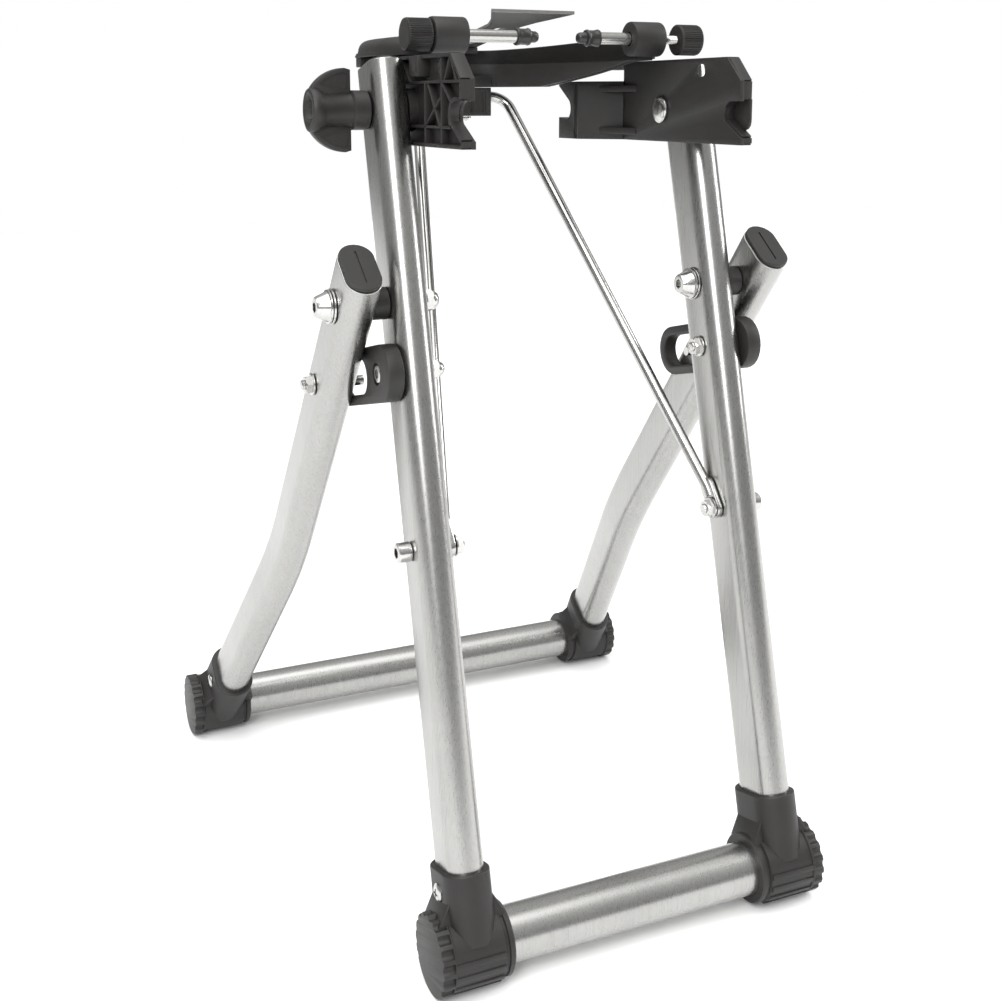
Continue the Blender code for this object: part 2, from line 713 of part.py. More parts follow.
CLAMP_X = 15.0 * MM
CLAMP_TOP = 403.6 * MM
CLAMP_BOTTOM = 387.8 * MM
CLAMP_SCREWS = (48.3 * MM, 59.7 * MM)


def rod_clamp(name):
    """The block that holds the gauge on the rod's top bar."""
    low = Vector((-CLAMP_X, 45.4 * MM, CLAMP_BOTTOM))
    high = Vector((CLAMP_X, 62.6 * MM, CLAMP_TOP))
    block = box(name, low, high)
    cut(block, pin(name + "_bore", ROD_RADIUS + GAP, BAR, -30 * MM, 30 * MM))
    for index, y in enumerate(CLAMP_SCREWS):
        bottom, top = (0, y, CLAMP_BOTTOM - 1 * MM), (0, y, CLAMP_TOP + 1 * MM)
        cut(block, drum(f"{name}_hole_{index}", 1.6 * MM + GAP, bottom, top, 16))
    for index in range(4):
        x = -10.5 * MM + index * 7 * MM
        rib = box(
            f"{name}_flute_{index}",
            (x - 1.1 * MM, 44 * MM, CLAMP_BOTTOM + 2 * MM),
            (x + 1.1 * MM, 46.2 * MM, CLAMP_TOP - 2 * MM),
        )
        cut(block, rib)
    return finish(block, name, "plastic")


def clamp_screw(name, y):
    """A screw up through the clamp into the yoke."""
    head_low, head_high = CLAMP_BOTTOM - 2.6 * MM, CLAMP_BOTTOM - GAP
    screw = drum(name, 3.1 * MM, (0, y, head_low), (0, y, head_high), 20)
    fuse(screw, drum(name + "_shank", 1.6 * MM, (0, y, head_high - 1 * MM), (0, y, CLAMP_TOP + 6 * MM), 12))
    return finish(screw, name, "zinc")


YOKE_BOTTOM = CLAMP_TOP + GAP
YOKE_LOW_SLOPE = math.radians(9.6)
YOKE_TOP_SLOPE = math.radians(2.9)


def mirrored(points):
    return points + [(-x, y) for x, y in points[::-1]]


def ring(inner, crown, outer, back):
    """A horseshoe outline from its right half in millimetres: inner side, crown, outer side, back."""
    half = [(0, crown)] + inner + outer + [(0, back)]
    return [(x * MM, y * MM) for x, y in half + [(-x, y) for x, y in half[-2:0:-1]]]


def gauge_yoke(name):
    """A horseshoe that carries both feelers: a deep curved band with wider shoulders on top."""
    inner = [(15.9, 47.6), (27, 34.5), (35, 19.5), (42, -0.5), (47.5, -23.7), (49.0, -57)]
    wall = [(54.5, -57), (53.0, -23.7), (47.6, 1.2), (40.6, 22), (32.2, 38), (20.5, 53), (14, 61)]
    rim = [(59.5, -57), (63.2, -32), (63.8, -12), (59, 5), (50.8, 24), (43, 42), (31, 56), (14, 66.4)]
    band = slab(name, ring(inner, 51.5, wall, 63.0), "xy", 396 * MM, 440 * MM)
    fuse(band, slab(name + "_rim", ring(inner, 51.5, rim, 68.2), "xy", 416.5 * MM, 440 * MM))

    shoulder = [(50, -40), (56, -50), (70, -42), (77.6, -24), (78.2, -4), (77, 10), (66, 14), (52, 22), (44, 6)]
    for side in (-1, 1):
        points = [(side * x * MM, y * MM) for x, y in shoulder]
        if side < 0:
            points.reverse()
        fuse(band, slab(f"{name}_shoulder_{side + 1}", points, "xy", 417.8 * MM, 427.0 * MM))

        skirt_low, skirt_high = sorted((side * 66 * MM, side * 77 * MM))
        fuse(band, box(f"{name}_skirt_{side + 1}", (skirt_low, 1.5 * MM, 413 * MM), (skirt_high, 9 * MM, 420 * MM)))
    for label, y, height, slope, low in (
        ("under", 50 * MM, YOKE_BOTTOM, 0, -0.05),
        ("rise", 22 * MM, YOKE_BOTTOM, YOKE_LOW_SLOPE, -0.05),
        ("over", 50 * MM, 424.2 * MM, YOKE_TOP_SLOPE, 0),
    ):
        cutter = box(f"{name}_{label}", (-0.1, -0.2, low), (0.1, 0.1, low + 0.05))
        cutter.data.transform(Matrix.Translation((0, y, height)) @ Matrix.Rotation(-slope, 4, "X"))
        cut(band, cutter)
    seat_low = Vector((-CLAMP_X, 44.9 * MM, YOKE_BOTTOM))
    fuse(band, box(name + "_seat", seat_low, (CLAMP_X, 62.6 * MM, YOKE_BOTTOM + 6 * MM)))
    for side in (-1, 1):
        fuse(band, pin(f"{name}_boss_{side + 1}", BOSS_RADIUS, FEELER, side * BOSS_START, side * BOSS_END, 32))
    for side in (-1, 1):
        cut(band, pin(f"{name}_bore_{side + 1}", FEELER_RADIUS + GAP, FEELER, side * 30 * MM, side * 70 * MM))
    pad = slab(name + "_pad", [(-9 * MM, 0), (9 * MM, 0), (9 * MM, 16 * MM), (-9 * MM, 16 * MM)], "xy", -4 * MM, 0)
    pad.data.transform(blade_frame() @ Matrix.Translation((0, -7.5 * MM, -GAP)))
    fuse(band, pad)
    for index, y in enumerate(CLAMP_SCREWS):
        bottom, top = (0, y, YOKE_BOTTOM - 1 * MM), (0, y, CLAMP_TOP + 6.5 * MM)
        cut(band, drum(f"{name}_hole_{index}", 1.6 * MM + GAP, bottom, top, 16))
    screw = drum(name + "_blade_hole", 1.5 * MM + GAP, (0, 0, -8 * MM), (0, 0, 2 * MM), 12)
    screw.data.transform(blade_frame())
    cut(band, screw)
    return finish(band, name, "plastic")


def blade_frame():
    """The blade's own frame: its screw at the origin, -Y forwards along the sheet, +Z up from it."""
    return Matrix.Translation(BLADE_ROOT) @ Matrix.Rotation(-BLADE_SLOPE, 4, "X")


BLADE_THICKNESS = 1.6 * MM


def radial_blade(name):
    """A flat arrow-shaped sheet with a straight front edge and a long adjusting slot."""
    half = [(23, -100), (21.7, -96.5), (12.8, -76), (9.3, -64), (9.3, 6), (6, 9)]
    points = [(x * MM, y * MM) for x, y in half]
    sheet = slab(name, mirrored(points), "xy", 0, BLADE_THICKNESS)
    slot = [(y, x - 29 * MM) for x, y in stadium(64 * MM, 5.6 * MM, 6)][::-1]
    cut(sheet, slab(name + "_slot", slot, "xy", -5 * MM, 5 * MM))
    for obj in (sheet, bpy.data.objects[name + "_slot"]):
        obj.data.transform(blade_frame())
    return finish(sheet, name, "blade")


def blade_screw(name):
    """The screw that clamps the blade on the yoke through its slot."""
    low = BLADE_THICKNESS + GAP
    screw = drum(name, 4.6 * MM, (0, 0, low), (0, 0, low + 2.2 * MM), 24)
    fuse(screw, drum(name + "_shank", 1.5 * MM, (0, 0, -7 * MM), (0, 0, low + 1 * MM), 12))
    for index, (across, along) in enumerate(((2.6, 0.5), (0.5, 2.6))):
        corner = Vector((across * MM, along * MM, 0))
        slot = box(f"{name}_slot_{index}", -corner + Vector((0, 0, low + 1.2 * MM)), corner + Vector((0, 0, 8 * MM)))
        slot.data.transform(blade_frame())
        cut(screw, slot)
    for obj in (screw, bpy.data.objects[name + "_shank"]):
        obj.data.transform(blade_frame())
    return finish(screw, name, "zinc")


def feeler(side, label, out):
    """A feeler: rod, two-step rubber tip and knurled knob. `out` is how far it is drawn outwards."""
    knob_in = BOSS_END + 0.4 * MM + out
    tip_start = knob_in - 44.7 * MM
    neck = tip_start + 29 * MM
    name = f"{label}_feeler_rod"
    rod = pin(name, FEELER_RADIUS, FEELER, side * (tip_start - 6 * MM), side * neck, 20)
    fuse(rod, pin(name + "_screw", 2.0 * MM, FEELER, side * (neck - 1 * MM), side * (knob_in + 6 * MM)))
    finish(rod, name, "steel")

    name = f"{label}_feeler_tip"
    nose = tip_start - 7.5 * MM
    tip = pin(name, 4.3 * MM, FEELER, side * tip_start, side * nose, 20)
    fuse(tip, pin(name + "_nose", 2.7 * MM, FEELER, side * (nose + 1 * MM), side * (tip_start - 12.3 * MM)))
    bore_end = side * (tip_start - 6 * MM - GAP)
    cut(tip, pin(name + "_bore", FEELER_RADIUS + GAP, FEELER, side * (tip_start + 1 * MM), bore_end, 20))
    finish(tip, name, "plastic")

    name = f"{label}_feeler_knob"
    knob = pin(name, 7.75 * MM, FEELER, side * knob_in, side * (knob_in + 12.6 * MM), 36)
    bore_end = side * (knob_in + 6 * MM + GAP)
    cut(knob, pin(name + "_bore", 2.0 * MM + GAP, FEELER, side * (knob_in - 1 * MM), bore_end))
    finish(knob, name, "plastic")


# ---------------------------------------------------------------- build

for side, label in ((-1, "left"), (1, "right")):
    front_leg(side, f"front_{label}_leg")
    rear_leg(side, f"rear_{label}_leg")
    foot(f"front_{label}_foot", side, FRONT_BASE, FRONT_X, FRONT_AXIS)
    foot(f"rear_{label}_foot", side, REAR_BASE, REAR_BASE_X, REAR_LEG_AXIS)
    end_cap(f"front_{label}_cap", on_front_leg(LEG_TOP), side * FRONT_X, FRONT_LEAN, 0.9 * MM)
    end_cap(f"rear_{label}_cap", PIVOT + REAR_AXIS * REAR_REACH, side * REAR_TOP_X, REAR_LEAN, 2.6 * MM)
    head(side, f"{label}_head")
    lock_link(side, f"{label}_link")
    washer(f"{label}_pivot_spacer", side, PIVOT, LINK_IN, LINK_OUT, PIVOT_BOLT + GAP, 7.6 * MM, "plastic")
    hex_nut(f"{label}_link_nut", side, LINK_PIVOT, FRONT_IN - GAP, FRONT_IN - 4.6 * MM, LINK_BOLT, 8 * MM)
    barrel_bolt(
        f"{label}_link_bolt", side, LINK_PIVOT, LINK_OUT - 3.4 * MM, FRONT_IN - 5.4 * MM, LINK_BOLT, 4.6 * MM, 3 * MM
    )
    hex_nut(f"{label}_stop_nut", side, STOP_PIVOT, REAR_OUT + GAP, REAR_OUT + 4.6 * MM, LINK_BOLT, 8 * MM)
    pin_tip = FRONT_OUT + 0.8 * MM
    stop = pin(f"{label}_stop_bolt", LINK_BOLT, STOP_PIVOT, side * pin_tip, side * (REAR_OUT + 6.2 * MM))
    finish(stop, f"{label}_stop_bolt", "zinc")
    hex_nut(f"{label}_rod_nut", side, ROD_PIVOT, EYE_IN - GAP, EYE_IN - 4.6 * MM, ROD_BOLT, 8 * MM)
    barrel_bolt(
        f"{label}_rod_bolt", side, ROD_PIVOT, FRONT_OUT + GAP, EYE_IN - 5.6 * MM, ROD_BOLT, 4.7 * MM, 6.6 * MM
    )

cone_bolt("left_pivot_bolt", -1, PIVOT, REAR_OUT + 1.6 * MM, FRONT_IN - 6 * MM, PIVOT_BOLT)
washer("left_pivot_washer", -1, PIVOT, REAR_OUT + GAP, REAR_OUT + 1.3 * MM, PIVOT_BOLT + GAP, 8.3 * MM)
hex_nut("left_pivot_nut", -1, PIVOT, FRONT_IN - GAP, FRONT_IN - 5.2 * MM, PIVOT_BOLT, 9.6 * MM)
cone_bolt("right_pivot_bolt", 1, PIVOT, FRONT_IN - 1.6 * MM, REAR_OUT + 6.4 * MM, PIVOT_BOLT)
washer("right_pivot_washer", 1, PIVOT, FRONT_IN - GAP, FRONT_IN - 1.3 * MM, PIVOT_BOLT + GAP, 8.3 * MM)
hex_nut("right_pivot_nut", 1, PIVOT, REAR_OUT + GAP, REAR_OUT + 5.4 * MM, PIVOT_BOLT, 9.6 * MM)

base_tube("front_base_tube", FRONT_BASE, FRONT_X + FOOT_OUTSIDE - 5.8 * MM)
base_tube("rear_base_tube", REAR_BASE, REAR_BASE_X + FOOT_OUTSIDE - 5.8 * MM)

wing_knob("wing_knob")
hex_bolt("clamp_stud", -1, HEAD_AXIS, 112.3 * MM, HEAD_FACE - 1 * MM, STUD, 12.6 * MM, 4.6 * MM)
barrel_bolt(
    "right_head_bolt", 1, HEAD_AXIS, HEAD_FACE - GAP, FRONT_OUT + 6.2 * MM, HEAD_BOLT, 6.8 * MM, 2.4 * MM
)
hex_nut("right_head_nut", 1, HEAD_AXIS, FRONT_OUT + GAP, FRONT_OUT + 5.4 * MM, HEAD_BOLT, 9.8 * MM)

gauge_rod("gauge_rod")
rod_clamp("rod_clamp")
for label, y in zip(("front", "rear"), CLAMP_SCREWS):
    clamp_screw(f"{label}_clamp_screw", y)
gauge_yoke("gauge_yoke")
radial_blade("radial_blade")
blade_screw("blade_screw")
feeler(-1, "left", 0)
feeler(1, "right", FEELER_TRAVEL)

# ---------------------------------------------------------------- joints

REAR_FRAME = ["leg", "foot", "foot_screw", "cap"]
MOVING = {
    "rear_frame": (
        PIVOT,
        [f"rear_{label}_{piece}" for label in ("left", "right") for piece in REAR_FRAME]
        + ["rear_base_tube", "left_stop_bolt", "left_stop_nut", "right_stop_bolt", "right_stop_nut"],
    ),
    "left_lock_link": (at(-LINK_IN, LINK_PIVOT), ["left_link"]),
    "right_lock_link": (at(LINK_IN, LINK_PIVOT), ["right_link"]),
    "clamp_knob": (at(-KNOB_START, HEAD_AXIS), ["wing_knob", "clamp_stud"]),
    "gauge_arm": (ROD_PIVOT, ["gauge_rod"]),
    "gauge_head": (BAR, ["rod_clamp", "front_clamp_screw", "rear_clamp_screw", "gauge_yoke", "blade_screw"]),
    "blade_slider": (BLADE_ROOT, ["radial_blade"]),
    "left_feeler": (at(-BOSS_END, FEELER), ["left_feeler_rod", "left_feeler_tip", "left_feeler_knob"]),
    "right_feeler": (at(BOSS_END, FEELER), ["right_feeler_rod", "right_feeler_tip", "right_feeler_knob"]),
}
CARRIED_BY = {
    "gauge_head": "gauge_arm",
    "blade_slider": "gauge_head",
    "left_feeler": "gauge_head",
    "right_feeler": "gauge_head",
}

joints = {}
for name, (place, nodes) in MOVING.items():
    joint = bpy.data.objects.new(name + "_joint", None)
    parts.objects.link(joint)
    joint.empty_display_size = 10 * MM
    joints[name] = joint
    carrier = joints.get(CARRIED_BY.get(name))
    joint.parent = carrier
    joint.location = Vector(place) - (Vector(MOVING[CARRIED_BY[name]][0]) if carrier else Vector())
    for node in nodes:
        piece = bpy.data.objects[node]
        piece.data.transform(Matrix.Translation(-Vector(place)))
        piece.parent = joint
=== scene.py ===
import math

import bpy
from mathutils import Matrix, Vector


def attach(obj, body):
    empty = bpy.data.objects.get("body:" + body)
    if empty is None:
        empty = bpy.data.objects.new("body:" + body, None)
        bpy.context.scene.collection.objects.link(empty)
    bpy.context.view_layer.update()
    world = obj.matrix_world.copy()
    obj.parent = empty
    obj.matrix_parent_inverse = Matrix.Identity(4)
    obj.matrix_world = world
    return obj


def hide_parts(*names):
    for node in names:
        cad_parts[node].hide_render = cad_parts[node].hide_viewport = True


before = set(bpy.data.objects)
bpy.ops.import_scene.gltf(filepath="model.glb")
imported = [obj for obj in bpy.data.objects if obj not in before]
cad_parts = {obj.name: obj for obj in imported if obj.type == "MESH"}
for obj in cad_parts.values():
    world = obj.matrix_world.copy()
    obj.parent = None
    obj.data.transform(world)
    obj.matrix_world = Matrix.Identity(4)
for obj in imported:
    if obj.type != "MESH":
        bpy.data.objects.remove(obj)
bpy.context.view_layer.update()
print("frame loaded:", len(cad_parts), "nodes")

mm = 0.001


# small modelling helpers

def point(x, y, z):
    return Vector((x, y, z)) * mm


def deselect():
    if bpy.context.object and bpy.context.object.mode != "OBJECT":
        bpy.ops.object.mode_set(mode="OBJECT")
    bpy.ops.object.select_all(action="DESELECT")


def activate(piece):
    deselect()
    piece.select_set(True)
    bpy.context.view_layer.objects.active = piece


def editAll(piece):
    # opens a piece for editing with all of it selected
    activate(piece)
    bpy.ops.object.mode_set(mode="EDIT")
    bpy.ops.mesh.select_all(action="SELECT")


def freeze(piece):
    activate(piece)
    bpy.ops.object.transform_apply(location=True, rotation=True, scale=True)


def applyModifier(piece, kind, **settings):
    modifier = piece.modifiers.new(kind.lower(), kind)
    for key, value in settings.items():
        setattr(modifier, key, value)
    activate(piece)
    bpy.ops.object.modifier_apply(modifier=modifier.name)


def soften(piece, width, segments=2, angle=35):
    applyModifier(piece, "BEVEL", width=width * mm, segments=segments, limit_method="ANGLE",
                  angle_limit=math.radians(angle), harden_normals=False)


def smooth(piece, angle=35):
    activate(piece)
    bpy.ops.object.shade_smooth_by_angle(angle=math.radians(angle))


def tidyNormals(piece):
    editAll(piece)
    bpy.ops.mesh.normals_make_consistent(inside=False)
    bpy.ops.object.mode_set(mode="OBJECT")


def joined(name, *pieces):
    deselect()
    for piece in pieces:
        piece.select_set(True)
    bpy.context.view_layer.objects.active = pieces[0]
    bpy.ops.object.join()
    pieces[0].name = name
    return pieces[0]


def carve(piece, *cutters):
    for cutter in cutters:
        applyModifier(piece, "BOOLEAN", operation="DIFFERENCE", object=cutter, solver="EXACT")
        bpy.data.objects.remove(cutter, do_unlink=True)
    return piece


def turned(name, profile, start, direction, sides=48, angle=35):
    # a turned solid: (distance, radius) steps in mm along a direction from a start
    deselect()
    axis = Vector(direction).normalized()
    facing = axis.to_track_quat("Z", "Y").to_euler()
    first = start + axis * profile[0][0] * mm
    bpy.ops.mesh.primitive_circle_add(vertices=sides, radius=profile[0][1] * mm, fill_type="NGON",
                                      location=first, rotation=facing)
    piece = bpy.context.object
    piece.name = name
    freeze(piece)
    bpy.ops.object.mode_set(mode="EDIT")
    bpy.ops.mesh.select_all(action="SELECT")
    for (place, radius), (nextPlace, nextRadius) in zip(profile, profile[1:]):
        step = axis * (nextPlace - place) * mm
        bpy.ops.mesh.extrude_region_move(TRANSFORM_OT_translate={"value": step})
        if nextRadius != radius:
            ratio = nextRadius / radius
            bpy.ops.transform.resize(value=(ratio, ratio, ratio),
                                     center_override=start + axis * nextPlace * mm)
    bpy.ops.object.mode_set(mode="OBJECT")
    tidyNormals(piece)
    smooth(piece, angle)
    return piece


def block(name, low, high, bevel=0.4):
    deselect()
    low, high = Vector(low), Vector(high)
    bpy.ops.mesh.primitive_cube_add(size=1, location=(low + high) / 2 * mm)
    piece = bpy.context.object
    piece.name = name
    piece.scale = (high - low) * mm
    freeze(piece)
    if bevel:
        soften(piece, bevel)
    smooth(piece)
    return piece


upright = Matrix(((0, 0, 1), (1, 0, 0), (0, 1, 0))).to_4x4()  # outline y, z; thickness along x
crosswise = Matrix(((1, 0, 0), (0, 0, -1), (0, 1, 0))).to_4x4()  # outline x, z; thickness along y
level = Matrix.Identity(4)  # outline x, y; thickness along z


def plate(name, outlines, plane, low, high, bevel=0.4):
    # a flat shape with rounded edges: its outline first, then the outlines of its holes
    deselect()
    curve = bpy.data.curves.new(name, "CURVE")
    curve.dimensions = "2D"
    curve.fill_mode = "BOTH"
    curve.extrude = ((high - low) / 2 - bevel) * mm
    curve.bevel_depth = bevel * mm
    curve.bevel_resolution = 1
    curve.offset = -bevel * mm
    for outline in outlines:
        spline = curve.splines.new("POLY")
        spline.points.add(len(outline) - 1)
        for target, (across, along) in zip(spline.points, outline):
            target.co = (across * mm, along * mm, 0, 1)
        spline.use_cyclic_u = True
    piece = bpy.data.objects.new(name, curve)
    bpy.context.scene.collection.objects.link(piece)
    activate(piece)
    bpy.ops.object.convert(target="MESH")
    piece = bpy.context.object
    bpy.ops.object.mode_set(mode="EDIT")
    bpy.ops.mesh.select_all(action="SELECT")
    bpy.ops.mesh.remove_doubles(threshold=0.00002)
    bpy.ops.object.mode_set(mode="OBJECT")
    piece.matrix_world = plane @ Matrix.Translation((0, 0, (low + high) / 2 * mm))
    freeze(piece)
    tidyNormals(piece)
    smooth(piece, 40)
    return piece


def arc(centre, radius, start, end, steps=12):
    angles = [math.radians(start + (end - start) * step / steps) for step in range(steps + 1)]
    return [(centre[0] + radius * math.cos(a), centre[1] + radius * math.sin(a)) for a in angles]


def flatOval(length, width, centre=(0, 0), steps=14):
    shift = (length - width) / 2
    return (arc((centre[0] + shift, centre[1]), width / 2, -90, 90, steps)
            + arc((centre[0] - shift, centre[1]), width / 2, 90, 270, steps))


def sweep(name, points, radius, sides=4):
    deselect()
    curve = bpy.data.curves.new(name, "CURVE")
    curve.dimensions = "3D"
    curve.bevel_depth = radius * mm
    curve.bevel_resolution = sides
    curve.use_fill_caps = True
    spline = curve.splines.new("POLY")
    spline.points.add(len(points) - 1)
    for target, place in zip(spline.points, points):
        target.co = (*place, 1)
    piece = bpy.data.objects.new(name, curve)
    bpy.context.scene.collection.objects.link(piece)
    activate(piece)
    bpy.ops.object.convert(target="MESH")
    piece = bpy.context.object
    bpy.ops.object.mode_set(mode="EDIT")
    bpy.ops.mesh.select_all(action="SELECT")
    bpy.ops.mesh.remove_doubles(threshold=0.00001)
    bpy.ops.object.mode_set(mode="OBJECT")
    tidyNormals(piece)
    smooth(piece)
    return piece


def rounded(points, radius, steps=14):
    # a path whose corners are rounded
    path = [points[0]]
    for before, corner, after in zip(points, points[1:], points[2:]):
        toward, away = (before - corner).normalized(), (after - corner).normalized()
        half = toward.angle(away) / 2
        centre = corner + (toward + away).normalized() * (radius * mm / math.sin(half))
        start = corner + toward * (radius * mm / math.tan(half)) - centre
        end = corner + away * (radius * mm / math.tan(half)) - centre
        path += [centre + start.slerp(end, step / steps) * radius * mm for step in range(steps + 1)]
    path.append(points[-1])
    return path


def ovalBar(name, stations, length, width, lean, steps=14, ends=None):
    # a flat-sided oval bar through the stations, its long side in the plane of its lean
    deselect()
    axis = Vector((0, math.sin(lean), math.cos(lean)))
    wide = Vector((0, math.cos(lean), -math.sin(lean)))
    bpy.ops.mesh.primitive_circle_add(vertices=steps * 4, radius=width / 2 * mm, fill_type="NGON",
                                      location=stations[0], rotation=(-lean, 0, 0))
    piece = bpy.context.object
    piece.name = name
    freeze(piece)
    shift = (length - width) / 2 * mm
    for vertex in piece.data.vertices:
        vertex.co += wide * (shift if (vertex.co - stations[0]).dot(wide) > 0 else -shift)
    bpy.ops.object.mode_set(mode="EDIT")
    bpy.ops.mesh.select_all(action="SELECT")
    for before, after in zip(stations, stations[1:]):
        bpy.ops.mesh.extrude_region_move(TRANSFORM_OT_translate={"value": after - before})
    bpy.ops.object.mode_set(mode="OBJECT")
    tidyNormals(piece)
    smooth(piece, 30)
    return piece


def cadCopy(name, node, bevel=0.3, segments=2):
    # a copy of a frame node with merged faces and softened edges
    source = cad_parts[node]
    piece = source.copy()
    piece.data = source.data.copy()
    piece.parent = None
    for key in list(piece.keys()):
        del piece[key]
    bpy.context.scene.collection.objects.link(piece)
    piece.name = name
    editAll(piece)
    bpy.ops.mesh.remove_doubles(threshold=0.000005)
    bpy.ops.mesh.dissolve_limited(angle_limit=math.radians(1))
    bpy.ops.mesh.normals_make_consistent(inside=False)
    bpy.ops.object.mode_set(mode="OBJECT")
    piece.data.materials.clear()
    if bevel:
        soften(piece, bevel, segments, 40)
    smooth(piece, 38)
    return piece


# materials

class Value:
    # a socket that can be written in arithmetic
    def __init__(self, shader, socket):
        self.shader, self.socket = shader, socket

    def maths(self, operation, *others):
        return self.shader.node("ShaderNodeMath", {"operation": operation},
                                dict(enumerate((self, *others))))

    def __add__(self, other):
        return self.maths("ADD", other)

    def __mul__(self, other):
        return self.maths("MULTIPLY", other)

    def __sub__(self, other):
        return self.maths("SUBTRACT", other)

    def __rsub__(self, other):
        return self.shader.node("ShaderNodeMath", {"operation": "SUBTRACT"}, {0: other, 1: self})

    __radd__ = __add__
    __rmul__ = __mul__


class Finish:
    def __init__(self, name):
        self.material = bpy.data.materials.new(name)
        self.material.use_nodes = True
        self.tree = self.material.node_tree
        self.surface = self.tree.nodes["Principled BSDF"]

    def node(self, kind, settings=None, inputs=None, output=0):
        made = self.tree.nodes.new(kind)
        for key, value in (settings or {}).items():
            if key == "stops":
                while len(made.color_ramp.elements) < len(value):
                    made.color_ramp.elements.new(0.5)
                for element, (place, shade) in zip(made.color_ramp.elements, value):
                    element.position = place
                    element.color = (shade, shade, shade, 1) if isinstance(shade, float) else (*shade, 1)
            else:
                setattr(made, key, value)
        for key, value in (inputs or {}).items():
            if isinstance(value, Value):
                self.tree.links.new(value.socket, made.inputs[key])
            else:
                made.inputs[key].default_value = value
        return Value(self, made.outputs[output])

    def place(self, scale=(1, 1, 1), turn=(0, 0, 0)):
        # object coordinates, turned and stretched
        coordinates = self.node("ShaderNodeTexCoord", output="Object")
        return self.node("ShaderNodeMapping", {"vector_type": "POINT"},
                         {"Vector": coordinates, "Rotation": turn, "Scale": scale})

    def noise(self, scale, detail=3.0, where=None, rough=0.6):
        where = where or self.place()
        return self.node("ShaderNodeTexNoise", None,
                         {"Vector": where, "Scale": scale, "Detail": detail, "Roughness": rough})

    def ramp(self, value, *stops):
        return self.node("ShaderNodeValToRGB", {"stops": stops}, {"Fac": value})

    def feed(self, socket, value):
        if isinstance(value, Value):
            self.tree.links.new(value.socket, self.surface.inputs[socket])
        else:
            self.surface.inputs[socket].default_value = value

    def bump(self, height, strength, distance):
        self.feed("Normal", self.node("ShaderNodeBump", None,
                                      {"Height": height, "Strength": strength, "Distance": distance}))


satinTube = {"shade": (0.36, 0.44), "roughness": (0.25, 0.31), "grain": 1400.0, "stretch": 60.0}
brightZinc = {"shade": (0.46, 0.62), "roughness": (0.14, 0.26), "grain": 1200.0}
polishedRod = {"shade": (0.42, 0.52), "roughness": (0.17, 0.24), "grain": 1500.0}
grainedPlastic = {"dark": (0.006, 0.0052, 0.0050), "light": (0.022, 0.0200, 0.0192), "grain": 2200.0,
                  "roughness": (0.42, 0.58)}
glossRubber = {"dark": (0.012, 0.012, 0.012), "light": (0.026, 0.025, 0.024), "roughness": (0.22, 0.36)}
paintedBlade = {"dark": (0.022, 0.021, 0.020), "light": (0.040, 0.038, 0.036), "roughness": (0.36, 0.5)}


def metalFinish(name, look, turn=(0, 0, 0), stretch=1.0):
    # bare metal with fine streaks along its length
    finish = Finish(name)
    streaks = finish.noise(look["grain"], 4.0, finish.place((1, 1, 1 / stretch), turn))
    cloud = finish.noise(35.0, 2.0)
    low, high = look["shade"]
    shade = finish.ramp(streaks * 0.7 + cloud * 0.3, (0.32, low), (0.68, high))
    warm = finish.node("ShaderNodeMix", {"data_type": "RGBA", "blend_type": "MULTIPLY"},
                       {"Factor": 1.0, "A": shade, "B": (1.0, 0.992, 0.972, 1)}, output="Result")
    finish.feed("Base Color", warm)
    smoothest, roughest = look["roughness"]
    finish.feed("Roughness", streaks * (roughest - smoothest) + smoothest)
    finish.feed("Metallic", 1.0)
    finish.bump(streaks, 0.03, 0.00003)
    return finish.material


def mouldedFinish(name, look, grainDepth=0.35):
    # moulded plastic with a fine spark-eroded grain
    finish = Finish(name)
    grain = finish.noise(look.get("grain", 2600.0), 3.0, rough=0.55)
    cloud = finish.noise(60.0, 3.0)
    tone = finish.node("ShaderNodeMix", {"data_type": "RGBA"},
                       {"Factor": cloud * 0.55 + grain * 0.45, "A": (*look["dark"], 1),
                        "B": (*look["light"], 1)},
                       output="Result")
    finish.feed("Base Color", tone)
    smoothest, roughest = look["roughness"]
    finish.feed("Roughness", grain * (roughest - smoothest) + smoothest)
    finish.surface.inputs["Specular IOR Level"].default_value = 0.45
    finish.bump(grain, grainDepth, 0.00012)
    return finish.material


frontTubeFinish = metalFinish("front tube satin", satinTube, (-math.radians(14.4), 0, 0),
                              satinTube["stretch"])
rearTubeFinish = metalFinish("rear tube satin", satinTube, (math.radians(38.2), 0, 0), satinTube["stretch"])
baseTubeFinish = metalFinish("base tube satin", satinTube, (0, math.radians(90), 0), satinTube["stretch"])
zincFinish = metalFinish("bright zinc", brightZinc)
rodFinish = metalFinish("polished rod", polishedRod)
plasticFinish = mouldedFinish("grained black plastic", grainedPlastic)
rubberFinish = mouldedFinish("smooth black rubber", glossRubber, 0.1)
bladeFinish = mouldedFinish("black blade paint", paintedBlade, 0.15)


def wear(piece, material, body, *nodes):
    # gives a finished piece its material, its body and the nodes that it stands for
    piece.data.materials.clear()
    piece.data.materials.append(material)
    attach(piece, body)
    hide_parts(*nodes)
    return piece


print("materials made")

# tubes

